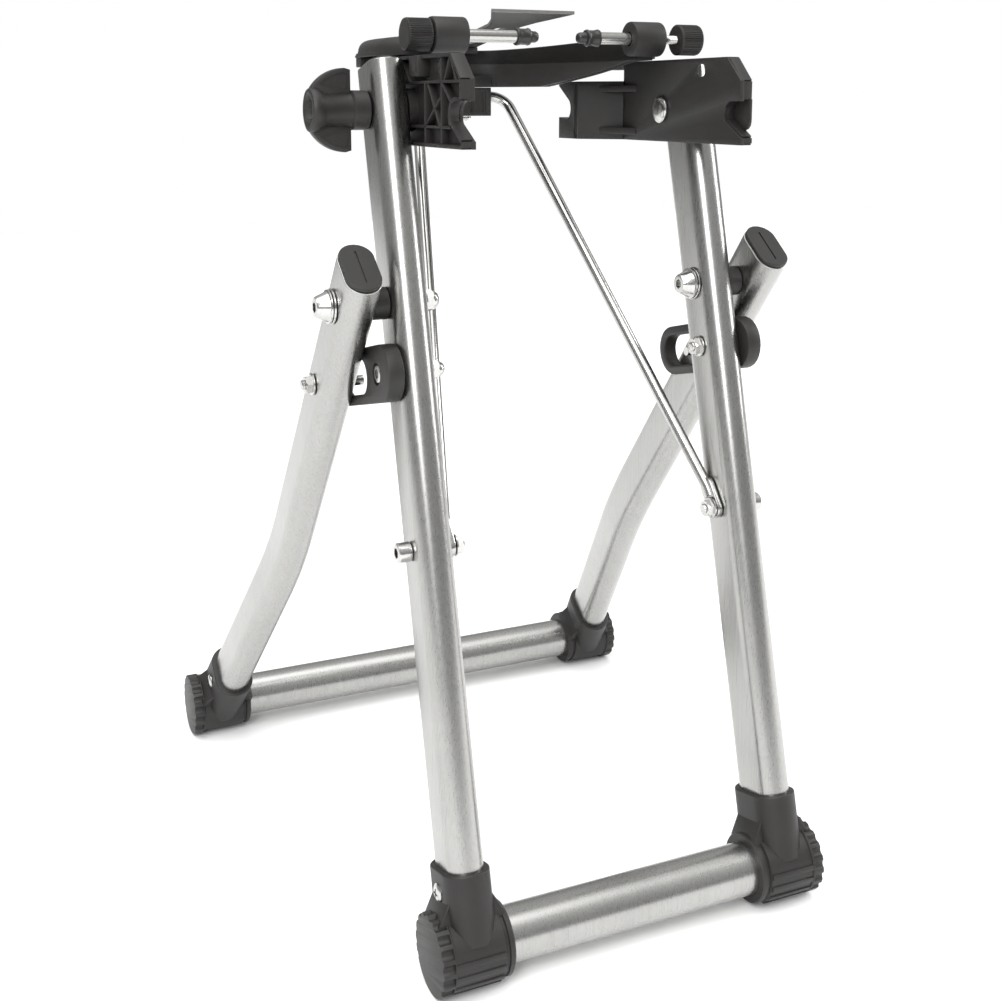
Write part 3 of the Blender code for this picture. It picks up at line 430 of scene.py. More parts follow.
stand = {"baseY": 149.15, "axisHeight": 18.0, "tubeRadius": 12.7, "frontX": 83.6, "rearX": 109.5,
         "rearFootX": 130.6,
         "pivot": (-75.65, 303.5), "ovalLength": 30.0, "ovalWidth": 17.5, "legTop": 412.6,
         "rearReach": 22.5,
         "bendShare": 0.56, "bendRadius": 420.0, "socketFloor": 15.6}
pivot = point(0, *stand["pivot"])
frontBase = point(0, -stand["baseY"], stand["axisHeight"])
rearBase = point(0, stand["baseY"], stand["axisHeight"])
frontAxis = (pivot - frontBase).normalized()
rearAxis = (pivot - rearBase).normalized()
frontLean = math.atan2(frontAxis.y, frontAxis.z)
rearLean = math.atan2(rearAxis.y, rearAxis.z)
rearKnee = pivot.lerp(rearBase, stand["bendShare"])
sides = (("left", -1), ("right", 1))


def across(x, centre):
    return Vector((x * mm, centre.y, centre.z))


def onFrontLeg(height):
    return frontBase + frontAxis * ((height - stand["axisHeight"]) * mm / frontAxis.z)


rearLegAxis = (across(stand["rearX"], rearKnee) - across(stand["rearFootX"], rearBase)).normalized()


def rimmedTop(piece, top, axis):
    # rounds the tube's cut end and sinks its mouth, so that the plug sits in a thin wall
    activate(piece)
    for face in piece.data.polygons:
        face.select = (face.center - top).length < 0.002 and face.normal.dot(axis) > 0.9
    bpy.ops.object.mode_set(mode="EDIT")
    bpy.ops.mesh.select_mode(type="FACE")
    bpy.ops.object.mode_set(mode="OBJECT")
    for face in piece.data.polygons:
        face.select = (face.center - top).length < 0.002 and face.normal.dot(axis) > 0.9
    bpy.ops.object.mode_set(mode="EDIT")
    bpy.ops.mesh.inset(thickness=0.0013, depth=0)
    bpy.ops.mesh.extrude_region_move(TRANSFORM_OT_translate={"value": axis * -0.006})
    bpy.ops.object.mode_set(mode="OBJECT")
    soften(piece, 0.35, 2, 50)
    smooth(piece, 30)


for label, side in sides:
    x = side * stand["frontX"]
    top = across(x, onFrontLeg(stand["legTop"]))
    leg = ovalBar(label + "FrontLeg", [across(x, frontBase + frontAxis * 0.016), top],
                  stand["ovalLength"], stand["ovalWidth"], frontLean)
    rimmedTop(leg, top, frontAxis)
    wear(leg, frontTubeFinish, "front_frame", f"front_{label}_leg")

    foot = across(stand["rearFootX"], rearBase) + rearLegAxis * stand["socketFloor"] * mm
    upper = across(stand["rearX"], pivot + rearAxis * stand["rearReach"] * mm)
    path = rounded([foot, across(stand["rearX"], rearKnee), upper], stand["bendRadius"], 16)
    path = [Vector((side * p.x, p.y, p.z)) for p in path]
    leg = ovalBar(label + "RearLeg", path, stand["ovalLength"], stand["ovalWidth"], rearLean)
    rimmedTop(leg, path[-1], rearAxis)
    wear(leg, rearTubeFinish, "rear_frame", f"rear_{label}_leg")

for name, node, body, centre, reach in (
        ("frontBaseTube", "front_base_tube", "front_frame", frontBase, stand["frontX"] + 12),
        ("rearBaseTube", "rear_base_tube", "rear_frame", rearBase, stand["rearFootX"] + 12)):
    tube = turned(name, [(0, 12.2), (0.5, 12.7), (2 * reach - 0.5, 12.7), (2 * reach, 12.2)],
                  across(-reach, centre), (1, 0, 0), 72)
    wear(tube, baseTubeFinish, body, node)

# plugs in the legs' tops
plug = {"inset": 1.9, "rise": 0.9, "rearRise": 2.4}
for label, side in sides:
    for end, x, centre, lean, axis, rise, body in (
            ("Front", stand["frontX"], onFrontLeg(stand["legTop"]), frontLean, frontAxis, plug["rise"],
             "front_frame"),
            ("Rear", stand["rearX"], pivot + rearAxis * stand["rearReach"] * mm, rearLean, rearAxis,
             plug["rearRise"], "rear_frame")):
        start = across(side * x, centre)
        inset = plug["inset"] if end == "Front" else 0.8
        cap = ovalBar(f"{label}{end}Plug", [start - axis * 0.005 if end == "Front" else start + axis * 0.0003,
                                            start + axis * rise * mm],
                      stand["ovalLength"] - inset, stand["ovalWidth"] - inset, lean)
        soften(cap, 0.5, 3, 60)
        groove = ovalBar("groove", [start + axis * (rise - 0.6) * mm, start + axis * (rise + 1) * mm], 20,
                         1.0, lean, 4)
        carve(cap, groove)
        smooth(cap, 30)
        wear(cap, plasticFinish, body, f"{end.lower()}_{label}_cap")
print("tubes and plugs made")

# feet

footSize = {"radius": 18.4, "inside": 17.0, "outside": 18.4, "sleeveTop": 36.0, "wall": 2.6, "teeth": 18,
            "rim": 6.4, "screwHeight": 26.0, "ribs": (9, -12, -33, -54)}


def flattened(piece):
    # cuts the foot off flat where it stands
    editAll(piece)
    bpy.ops.mesh.bisect(plane_co=(0, 0, 0.00004), plane_no=(0, 0, 1), use_fill=True, clear_inner=True)
    bpy.ops.object.mode_set(mode="OBJECT")


def toothedCap(name, centre, inner, outer, side):
    # the foot's thick outer disc, scalloped round its rim
    size = footSize
    depth = size["rim"]
    piece = turned(name, [(0, size["radius"] - 0.5), (0.5, size["radius"]), (depth - 0.7, size["radius"]),
                          (depth - 0.2, size["radius"] - 0.25), (depth, size["radius"] - 0.8)],
                   across(side * inner, centre), (side, 0, 0), 96)
    scallops = []
    for tooth in range(size["teeth"]):
        angle = math.tau * (tooth + 0.5) / size["teeth"]
        if math.sin(angle) < -0.75:
            continue
        spot = centre + Vector((0, math.cos(angle), math.sin(angle))) * (size["radius"] + 0.9) * mm
        scallops.append(turned("scallop", [(0.9, 2.5), (depth + 1, 2.5)], across(side * inner, spot),
                               (side, 0, 0), 16))
    carve(piece, joined("scallops", *scallops))
    soften(piece, 0.25, 2, 50)
    smooth(piece, 30)
    return piece


def cornerFoot(name, side, centre, legX, axis, lean, body, node):
    size = footSize
    inner, outer = legX - size["inside"], legX + size["outside"]
    front = -1 if centre.y < 0 else 1
    length = outer - size["rim"] - inner
    barrel = turned(name, [(0, 14.6), (0, 16.4), (0.7, 17.0), (2.6, 17.0), (3.0, 16.2), (4.2, 16.2),
                           (4.8, 17.4),
                           (length, 17.6)], across(side * inner, centre), (side, 0, 0), 72)
    cap = toothedCap("cap", centre, outer - size["rim"], outer, side)
    along = Vector((side * axis.x, axis.y, axis.z))
    start = across(side * legX, centre)
    grown = 2 * size["wall"]
    sleeve = ovalBar("sleeve", [start + along * 0.004, start + along * (size["sleeveTop"] - 2.0) * mm,
                                start + along * size["sleeveTop"] * mm],
                     stand["ovalLength"] + grown, stand["ovalWidth"] + grown, lean)
    soften(sleeve, 0.8, 3, 60)
    smooth(sleeve, 30)
    pieces = [barrel, cap, sleeve]
    for turn in size["ribs"]:
        rib = block("rib", (inner + 5.0, 15.5, -1.5), (outer - 5.6, 18.2, 1.5), 0.45)
        rib.data.transform(Matrix.Translation(across(0, centre)) @ Matrix.Scale(side, 4, (1, 0, 0))
                           @ Matrix.Rotation(math.radians(turn if front > 0 else 180 - turn), 4, "X"))
        tidyNormals(rib)
        pieces.append(rib)
    for offset in (-1, 1):
        fairing = [(offset * 9, 25), (offset * 10.7, 24), (offset * 16.3, 14.5), (offset * 16.3, 4),
                   (offset * 9, 4)]
        splay = axis.x / Vector((axis.y, axis.z)).length
        fairing = [(side * (legX + x + splay * z), z) for x, z in fairing]
        web = plate("fairing", [fairing], crosswise, -10.5, 10.5, 1.2)
        web.data.transform(Matrix.Translation(across(0, centre)) @ Matrix.Rotation(-lean, 4, "X"))
        pieces.append(web)
    for piece in pieces:
        if min(vertex.co.z for vertex in piece.data.vertices) < 0.0001:
            flattened(piece)
    whole = joined(name, *pieces)
    wear(whole, plasticFinish, body, node)
    face = legX + axis.x * size["screwHeight"] + stand["ovalWidth"] / 2 + size["wall"]
    spot = across(0, centre + axis * size["screwHeight"] * mm)
    crossHead(name + "Screw", across(side * (face - 0.5), spot), (side, 0, 0), 4.3, 2.0, body,
              node + "_screw")


def crossHead(name, start, direction, radius, height, body, node):
    # a domed screw head with a cross recess
    head = turned(name, [(0, radius - 0.2), (0.3, radius), (height * 0.45, radius),
                         (height * 0.8, radius * 0.78),
                         (height, radius * 0.4)], start, direction, 40)
    axis = Vector(direction).normalized()
    for wide, thin in ((radius * 0.5, 0.5), (0.5, radius * 0.5)):
        facing = axis.to_track_quat("Z", "Y").to_matrix().to_4x4()
        slot = block("slot", (-wide, -thin, height * 0.35), (wide, thin, height + 2), 0)
        slot.data.transform(Matrix.Translation(start) @ facing)
        carve(head, slot)
    smooth(head, 30)
    wear(head, zincFinish, body, node)


for label, side in sides:
    cornerFoot(label + "FrontFoot", side, frontBase, stand["frontX"], frontAxis, frontLean,
               "front_frame", f"front_{label}_foot")
    cornerFoot(label + "RearFoot", side, rearBase, stand["rearFootX"], rearLegAxis, rearLean,
               "rear_frame", f"rear_{label}_foot")
print("feet made")

# fasteners

boltSpots = {"link": 32.7, "stop": 54.6, "rod": 191.9, "head": 391.8}
linkPivot = pivot - frontAxis * boltSpots["link"] * mm
stopPivot = pivot - rearAxis * boltSpots["stop"] * mm
rodPivot = onFrontLeg(boltSpots["rod"])
headAxis = onFrontLeg(boltSpots["head"])
halfLeg = stand["ovalWidth"] / 2
frontIn, frontOut = stand["frontX"] - halfLeg, stand["frontX"] + halfLeg
rearIn, rearOut = stand["rearX"] - halfLeg, stand["rearX"] + halfLeg


thread = {"pitch": 0.7, "depth": 0.28}


def threaded(start, end, radius):
    # profile steps of a threaded stretch
    steps = []
    place = start
    while place < end - 0.3:
        steps += [(place, radius), (place + thread["pitch"] / 2, radius - thread["depth"])]
        place += thread["pitch"]
    return steps + [(end, radius - 0.5)]


def hexNut(name, centre, start, sign, acrossFlats, height, bore, body, node, turn=8, dome=False):
    # a chamfered nut; a domed one closes over the bolt's end
    origin = across(start, centre)
    radius = acrossFlats / math.sqrt(3)
    nut = turned(name, [(0, radius), (height, radius)], origin, (sign, 0, 0), 6, 20)
    rounder = turned("rounder", [(0, radius * 0.93), (height * 0.14, radius * 1.01),
                                 (height * 0.80, radius * 1.01),
                                 (height, radius * 0.88)], origin, (sign, 0, 0), 48)
    nut.data.transform(Matrix.Translation(centre) @ Matrix.Rotation(math.radians(turn), 4, "X")
                       @ Matrix.Translation(-centre))
    applyModifier(nut, "BOOLEAN", operation="INTERSECT", object=rounder, solver="EXACT")
    bpy.data.objects.remove(rounder, do_unlink=True)
    flange = turned("flange", [(0, radius * 1.02), (0.2, radius * 1.16), (0.9, radius * 1.16),
                               (1.1, radius * 1.05)],
                    origin, (sign, 0, 0), 40)
    parts = [nut, flange]
    if dome:
        parts.append(turned("dome", [(height - 0.2, radius * 0.8), (height + 1.2, radius * 0.78),
                                     (height + 2.6, radius * 0.6), (height + 3.4, radius * 0.3)],
                            origin, (sign, 0, 0), 32))
    smooth(nut, 25)
    whole = joined(name, *parts)
    wear(whole, zincFinish, body, node)


def boltEnd(name, centre, start, end, radius, body, node, extra=()):
    sign = 1 if end > start else -1
    length = abs(end - start)
    shank = turned(name, [(0, radius), (length * 0.4, radius)] + threaded(length * 0.4 + 0.1, length,
                                                                          radius),
                   across(start, centre), (sign, 0, 0), 24)
    whole = joined(name, shank, *extra)
    wear(whole, zincFinish, body, node)


def coneHead(centre, x, sign):
    # a tapered head with a hexagonal socket
    head = turned("head", [(0, 7.3), (0.2, 7.9), (0.9, 7.9), (1.2, 7.1), (6.2, 5.0), (6.8, 4.5),
                           (6.9, 3.6)],
                  across(x, centre), (sign, 0, 0), 48)
    socket = turned("socket", [(4.2, 2.6), (10, 2.6)], across(x, centre), (sign, 0, 0), 6, 20)
    carve(head, socket)
    smooth(head, 28)
    return head


def barrelHead(centre, x, sign, radius, height):
    head = turned("head", [(0, radius - 0.3), (0.4, radius), (height - 0.9, radius),
                           (height - 0.25, radius - 0.5),
                           (height, radius - 1.1)], across(x, centre), (sign, 0, 0), 48)
    socket = turned("socket", [(height * 0.45, radius * 0.55), (height + 1, radius * 0.55)],
                    across(x, centre), (sign, 0, 0), 6, 20)
    carve(head, socket)
    smooth(head, 28)
    return head


def ring(name, centre, x, sign, thickness, inner, outer, body, node, material):
    piece = turned(name, [(0, outer - 0.25), (0.2, outer), (thickness - 0.2, outer),
                          (thickness, outer - 0.25)],
                   across(x, centre), (sign, 0, 0), 48)
    carve(piece, turned("hole", [(-1, inner), (thickness + 1, inner)], across(x, centre), (sign, 0, 0), 32))
    smooth(piece, 30)
    wear(piece, material, body, node)


for label, side in sides:
    # lock link bolts
    boltEnd(label + "LinkBolt", linkPivot, side * (frontOut + 4.6), side * (frontIn - 5.6), 2.5,
            "front_frame",
            f"{label}_link_bolt", [barrelHead(linkPivot, side * (frontOut + 4.9), side, 4.5, 3.0)])
    hexNut(label + "LinkNut", linkPivot, side * (frontIn - 0.3), -side, 8, 4.3, 2.5, "front_frame",
           f"{label}_link_nut", 14, label == "left")
    boltEnd(label + "StopBolt", stopPivot, side * (frontOut + 0.9), side * (rearOut + 6.2), 2.5,
            "rear_frame",
            f"{label}_stop_bolt")
    hexNut(label + "StopNut", stopPivot, side * (rearOut + 0.3), side, 8, 4.3, 2.5, "rear_frame",
           f"{label}_stop_nut", 20)
    # gauge rod bolts
    boltEnd(label + "RodBolt", rodPivot, side * (frontOut + 0.5), side * (frontIn - 9.0), 2.5,
            "front_frame",
            f"{label}_rod_bolt", [barrelHead(rodPivot, side * (frontOut + 0.3), side, 4.7, 6.6)])
    hexNut(label + "RodNut", rodPivot, side * (frontIn - 3.7), -side, 8, 4.3, 2.5, "front_frame",
           f"{label}_rod_nut", 4)
    ring(label + "PivotSpacer", pivot, side * (frontOut + 0.3), side, 7.8, 3.3, 7.6, "front_frame",
         f"{label}_pivot_spacer", plasticFinish)

boltEnd("leftPivotBolt", pivot, -(rearOut + 2.0), -(frontIn - 6), 3.0, "front_frame", "left_pivot_bolt",
        [coneHead(pivot, -(rearOut + 1.6), -1)])
ring("leftPivotWasher", pivot, -(rearOut + 0.3), -1, 1.0, 3.3, 8.3, "front_frame", "left_pivot_washer",
     zincFinish)
hexNut("leftPivotNut", pivot, -(frontIn - 0.3), 1, 9.6, 4.9, 3, "front_frame", "left_pivot_nut", 10, True)
boltEnd("rightPivotBolt", pivot, frontIn - 2.0, rearOut + 6.4, 3.0, "front_frame", "right_pivot_bolt",
        [coneHead(pivot, frontIn - 1.6, -1)])
ring("rightPivotWasher", pivot, frontIn - 0.3, -1, 1.0, 3.3, 8.3, "front_frame", "right_pivot_washer",
     zincFinish)
hexNut("rightPivotNut", pivot, rearOut + 0.3, 1, 9.6, 4.9, 3, "front_frame", "right_pivot_nut", 10, True)
boltEnd("rightHeadBolt", headAxis, 66.6, frontOut + 6.2, 3.0, "front_frame", "right_head_bolt",
        [turned("head", [(0, 6.5), (0.3, 6.9), (0.9, 6.9), (1.6, 6.3), (2.1, 4.8), (2.25, 2.4)],
                across(67.3, headAxis), (-1, 0, 0), 48)])
hexNut("rightHeadNut", headAxis, frontOut + 0.3, 1, 9.8, 5.0, 3, "front_frame", "right_head_nut", 10)
print("fasteners made")

# lock links

link = {"front": 18.0, "rear": 70.5, "height": 27.0, "tilt": 1.5}
linkTilt = -math.atan2(linkPivot.z - stopPivot.z, stopPivot.y - linkPivot.y) + math.radians(link["tilt"])
for label, side in sides:
    low, high = sorted((side * (frontOut + 0.3), side * (rearIn - 0.3)))
    middle = (link["rear"] - link["front"]) / 2
    outline = flatOval(link["front"] + link["rear"], link["height"], (middle, 0))
    window = flatOval(50, 16.8, (link["rear"] - 5.5 - 25, 0))
    body = plate(label + "LockLink", [outline, window], upright, low, high, 0.8)
    seat = turned("seat", [(-3.6, 5.4), (2, 5.4)], across(side * (rearIn - 0.3), Vector()), (side, 0, 0),
                  32)
    hole = turned("hole", [(0, 2.8), (20, 2.8)], across(side * (frontOut - 5), Vector()), (side, 0, 0), 24)
    carve(body, seat, hole)
    body.data.transform(Matrix.Translation(linkPivot) @ Matrix.Rotation(linkTilt, 4, "X"))
    smooth(body, 35)
    wear(body, plasticFinish, f"{label}_lock_link", f"{label}_link")
print("lock links made")

# axle heads

headSize = {"face": 67.6, "back": 74.4, "wall": 2.4, "bottom": 375.4, "top": 416.8, "rear": -13.3,
            "jawFace": 49.6,
            "frontJaw": (-116.95, 389.8), "rearJaw": (20.75, 391.9), "seat": 6.15}


def headPiece(label, side):
    size = headSize
    frontSeat = arc(size["frontJaw"], size["seat"], 90, -35, 20)
    rearSeat = arc(size["rearJaw"], size["seat"], 248, 132, 20)
    bottom, top, rear = size["bottom"], size["top"], size["rear"]
    outline = [(-125.2, bottom + 3.2), (-125.2, bottom), (rear, bottom), (rear, top), (-112, top),
               (-124.1, 405.5),
               (-124.1, size["frontJaw"][1] + size["seat"])] + frontSeat
    slot = flatOval(9.2, 6.2, (-88.8, 410.8), 6)
    low, high = sorted((side * size["face"], side * (size["face"] + size["wall"])))
    wall = plate("wall", [outline, slot], upright, low, high, 0.35)
    pieces = [wall]
    rimLow, rimHigh = sorted((side * (size["face"] + 1.2), side * size["back"]))
    rim = 1.7

    def rib(start, end, width=1.5, low=rimLow, high=rimHigh):
        start, end = Vector(start), Vector(end)
        sideways = (end - start).normalized().orthogonal() * width / 2
        shape = [tuple(start - sideways), tuple(end - sideways), tuple(end + sideways),
                 tuple(start + sideways)]
        pieces.append(plate("rib", [shape], upright, low, high, 0.3))

    half = rim / 2
    edge = [(-124.3, bottom + half), (rear - half, bottom + half), (rear - half, top - half),
            (-112.2, top - half),
            (-123.2, 405.2), (-123.2, 396.9)]
    for start, end in zip(edge, edge[1:]):
        rib(start, end, rim)
    rib((-124.3, bottom + half), (-124.3, bottom + 3.4), rim)
    rib((-124.2, bottom + 3.6), (-111.6, 386.6), rim)
    ringShape = arc(size["frontJaw"], size["seat"] + 1.8, 90, -35, 20) + arc(size["frontJaw"], size["seat"],
                                                                             -35, 90, 20)
    pieces.append(plate("seatRing", [ringShape], upright, rimLow, rimHigh, 0.3))
    inner = sorted((side * (size["face"] + 1.2), side * (size["back"] - 0.7)))
    ribTop, ribUpper, ribLower, ribBase = top - 1, 404.5, 384.5, bottom + 1
    for start, end in (((-122.5, ribUpper), (-14, ribUpper)), ((-110, ribLower), (-14, ribLower)),
                       ((-79.3, ribBase), (-79.3, ribUpper)), ((-99.6, ribBase), (-99.6, ribTop)),
                       ((-82.5, ribUpper), (-97.5, ribLower)), ((-98, 397), (-79.3, ribLower)),
                       ((-99.6, ribUpper), (-111, 395)), ((-103, ribUpper), (-110, ribTop)),
                       ((-110, ribTop), (-117, ribUpper)), ((-32, ribBase), (-32, ribTop)),
                       ((-60, ribUpper), (-48, ribTop)), ((-48, ribTop), (-34, ribUpper))):
        rib(start, end, 1.3, *inner)
    pieces.append(turned("boss", [(0, 10.2), (size["back"] - size["face"] - 1.3, 10),
                                  (size["back"] - size["face"] - 1, 9.7)],
                         across(side * (size["face"] + 1), headAxis), (side, 0, 0), 40))
    lugLow, lugHigh = sorted((side * (size["face"] + 1), side * 76.2))
    pieces.append(block("lug", (lugLow, -77.2, 407), (lugHigh, -65.9, 416.6), 0.7))
    tipLow, tipHigh = sorted((side * 75.9, side * 76.4))
    pieces.append(block("lugTip", (tipLow, -75.2, 408.8), (tipHigh, -67.9, 414.8), 0.15))

    if side > 0:
        cup = [(-110, 396.9), (-124.7, 396.9), (-124.7, 386.7), (-124.2, 384.6), (-122.7, 383.0),
               (-120.6, 382.3),
               (-110, 382.3)]
        pieces.append(plate("cup", [cup], upright, size["back"] - 1.5, size["back"] - 0.1, 0.3))
    # the step inwards and the second jaw
    face, jaw, thick = size["face"], size["jawFace"], 6.2
    plan = [(face, rear - 1.5), (face + thick, rear - 1.5), (face + thick, -10.8), (jaw + thick, 7.6),
            (jaw + thick, 10), (jaw, 10), (jaw, 5), (face, rear)]
    plan = [(side * x, y) for x, y in plan]
    pieces.append(plate("step", [plan], level, bottom, 406.7, 0.4))
    jawOutline = [(6, bottom), (28.7, bottom), (28.7, 387.1)] + rearSeat + [(29, 404.4), (29, 406.7),
                                                                            (6, 406.7)]
    low, high = sorted((side * jaw, side * (jaw + thick)))
    pieces.append(plate("rearJaw", [jawOutline], upright, low, high, 0.4))
    for height in (378.4, 400.9):
        gusset = [(58.0, -3.6), (face - 0.2, -27.5), (face + 0.6, -27.5), (face + 0.6, -8), (62, 0)]
        gusset = [(side * x, y) for x, y in gusset]
        pieces.append(plate("gusset", [gusset], level, height, height + 3.6, 0.4))
    whole = joined(label + "Head", *pieces)
    if side < 0:
        spot = turned("boltSeat", [(0, 6.2), (1.4, 6.0)], across(side * (face + 0.6), headAxis),
                      (-side, 0, 0), 40)
        whole = joined(label + "Head", whole, spot)
    wear(whole, plasticFinish, "front_frame", f"{label}_head")


for label, side in sides:
    headPiece(label, side)
print("axle heads made")

# wing knob and clamp stud

knob = {"start": frontOut + 0.4, "end": 121.0, "collar": 9.2, "hub": 8.0, "nose": 10.4, "across": 13.4}
start = across(-knob["start"], headAxis)
hub = turned("wingKnob", [(0, 8.6), (0.6, 9.2), (7.4, 9.2), (8.0, 8.6), (8.4, 8.0), (20.6, 7.9),
                          (22.6, 9.2),
                          (24.6, 10.4), (26.8, 10.4), (27.8, 9.8), (28.0, 8.9)], start, (-1, 0, 0), 64)
carve(hub, turned("recess", [(20.5, 7.7), (30, 7.7)], start, (-1, 0, 0), 6, 20))
wings = []
for up in (1, -1):
    bow = [(-100.9, 7.0), (-100.9, 18.6)] + arc((-103.0, -0.5), 19.9, 92, 148, 16) + [(-119.6, 7.0)]
    wing = plate("wing", [[(x, up * z) for x, z in bow]], crosswise, -2.6, 2.6, 0.7)
    inset = [(-102.6, 9.5), (-102.6, 16.6)] + arc((-103.0, -0.5), 17.7, 92, 136, 12)
    for face in (-1, 1):
        low, high = sorted((face * 2.2, face * 3.5))
        carve(wing, plate("hollow", [[(x, up * z) for x, z in inset]], crosswise, low, high, 0))
    smooth(wing, 30)
    wing.data.transform(Matrix.Translation(across(0, headAxis)))
    wings.append(wing)
whole = joined("wingKnob", hub, *wings)
wear(whole, plasticFinish, "clamp_knob", "wing_knob")
stud = turned("clampStud", [(0, 3.7), (45, 3.7)] , across(-67, headAxis), (-1, 0, 0), 24)
studHead = turned("studHead", [(0, 7.2), (4.0, 7.2), (4.5, 6.6)], across(-112.3, headAxis), (-1, 0, 0), 6,
                  20)
wear(joined("clampStud", stud, studHead), zincFinish, "clamp_knob", "clamp_stud")
print("wing knob made")

# gauge

bar = point(0, 54.0, 398.5)
rodUp = (bar - rodPivot).normalized()
rodLean = math.atan2(rodUp.y, rodUp.z)
gauge = {"rod": 3.0, "corner": 27.0, "bend": 11.0, "eye": 3.0}
eyeX = frontIn - 0.3 - gauge["eye"] / 2
low = rodPivot + rodUp * 0.011
path = [across(-eyeX, rodPivot + rodUp * 0.006), across(-(eyeX - 0.2), low), across(-gauge["corner"], bar),
        across(gauge["corner"], bar), across(eyeX - 0.2, low), across(eyeX, rodPivot + rodUp * 0.006)]
bends = rounded(path[1:-1], gauge["bend"], 16)
rod = sweep("gaugeRod", [path[0]] + bends + [path[-1]], gauge["rod"], 6)
eyes = []
for side in (-1, 1):
    outline = flatOval(22, 10.4, (5.4, 0))
    low, high = sorted((side * (frontIn - 0.3), side * (frontIn - 3.3)))
    hole = arc((0, 0), 2.8, 0, 345, 23)
    eye = plate("eye", [[(-y, x) for x, y in outline], hole], upright, low, high, 0.7)
    eye.data.transform(Matrix.Translation(rodPivot) @ Matrix.Rotation(-rodLean, 4, "X"))
    eyes.append(eye)
wear(joined("gaugeRod", rod, *eyes), rodFinish, "gauge_arm", "gauge_rod")

sheetTilt = math.radians(8.0)
sheetUp = Vector((0, math.sin(sheetTilt), math.cos(sheetTilt)))
bladeRoot = point(0, 58.0, 425.4)
feelerCentre = point(0, -58.0, 426.8)
clamp = cadCopy("rodClamp", "rod_clamp", 0.5)
wear(clamp, plasticFinish, "gauge_head", "rod_clamp")
for label, y in (("front", 48.3), ("rear", 59.7)):
    crossHead(label + "ClampScrew", point(0, y, 387.6), (0, 0, -1), 3.4, 2.4, "gauge_head",
              f"{label}_clamp_screw")


def bowed(half, crown, count=61):
    # a smooth symmetric line through half its points and its crown, evenly numbered
    ends = [(-x, y) for x, y in half] + [(0, crown)] + [(x, y) for x, y in reversed(half)]
    knots = [Vector(p) for p in ends]
    line = []
    for step in range(count):
        place = step / (count - 1) * (len(knots) - 1)
        index = min(int(place), len(knots) - 2)
        t = place - index
        before, here = knots[max(index - 1, 0)], knots[index]
        there, after = knots[index + 1], knots[min(index + 2, len(knots) - 1)]
        line.append(0.5 * (2 * here + (there - before) * t + (2 * before - 5 * here + 4 * there - after) * t ** 2
                           + (3 * here - before - 3 * there + after) * t ** 3))
    return line


def between(first, second, share):
    return [a.lerp(b, share) for a, b in zip(first, second)]


def sliced(piece, place, normal):
    # cuts off what lies on the normal's side of a plane
    editAll(piece)
    bpy.ops.mesh.bisect(plane_co=place, plane_no=normal, use_fill=True, clear_outer=True)
    bpy.ops.object.mode_set(mode="OBJECT")


yokeShape = {"bottom": 403.9, "lowSlope": math.radians(9.6), "lowStart": 22, "top": 424.2,
             "topSlope": math.radians(2.9),
             "topStart": 50, "rimBottom": 416.5, "shoulderBottom": 417.8, "shoulderTop": 427.0,
             "round": 7.0}
innerLine = bowed([(49, -57), (47.5, -23.7), (42, -0.5), (35, 19.5), (27, 34.5), (15.9, 47.6)], 51.5)
wallLine = bowed([(54.5, -57), (53, -23.7), (47.6, 1.2), (40.6, 22), (32.2, 38), (20.5, 53), (14, 61)],
                 63.0)
rimLine = bowed([(59.5, -57), (63.2, -32), (63.8, -12), (59, 5), (50.8, 24), (43, 42), (31, 56),
                 (14, 66.4)], 68.2)


def yokeBand(first, second, low, high, bevel):
    outline = [tuple(p) for p in first] + [tuple(p) for p in reversed(second)]
    band = plate("band", [outline], level, low, high, 0)
    shape = yokeShape
    if low < shape["bottom"]:
        sliced(band, (0, 0, shape["bottom"] * mm), (0, 0, -1))
        rise = (0, -math.sin(shape["lowSlope"]), -math.cos(shape["lowSlope"]))
        sliced(band, point(0, shape["lowStart"], shape["bottom"]), rise)
    over = (0, math.sin(shape["topSlope"]), math.cos(shape["topSlope"]))
    sliced(band, point(0, shape["topStart"], shape["top"]), over)
    tidyNormals(band)
    soften(band, bevel, 2, 50)
    smooth(band, 30)
    return band


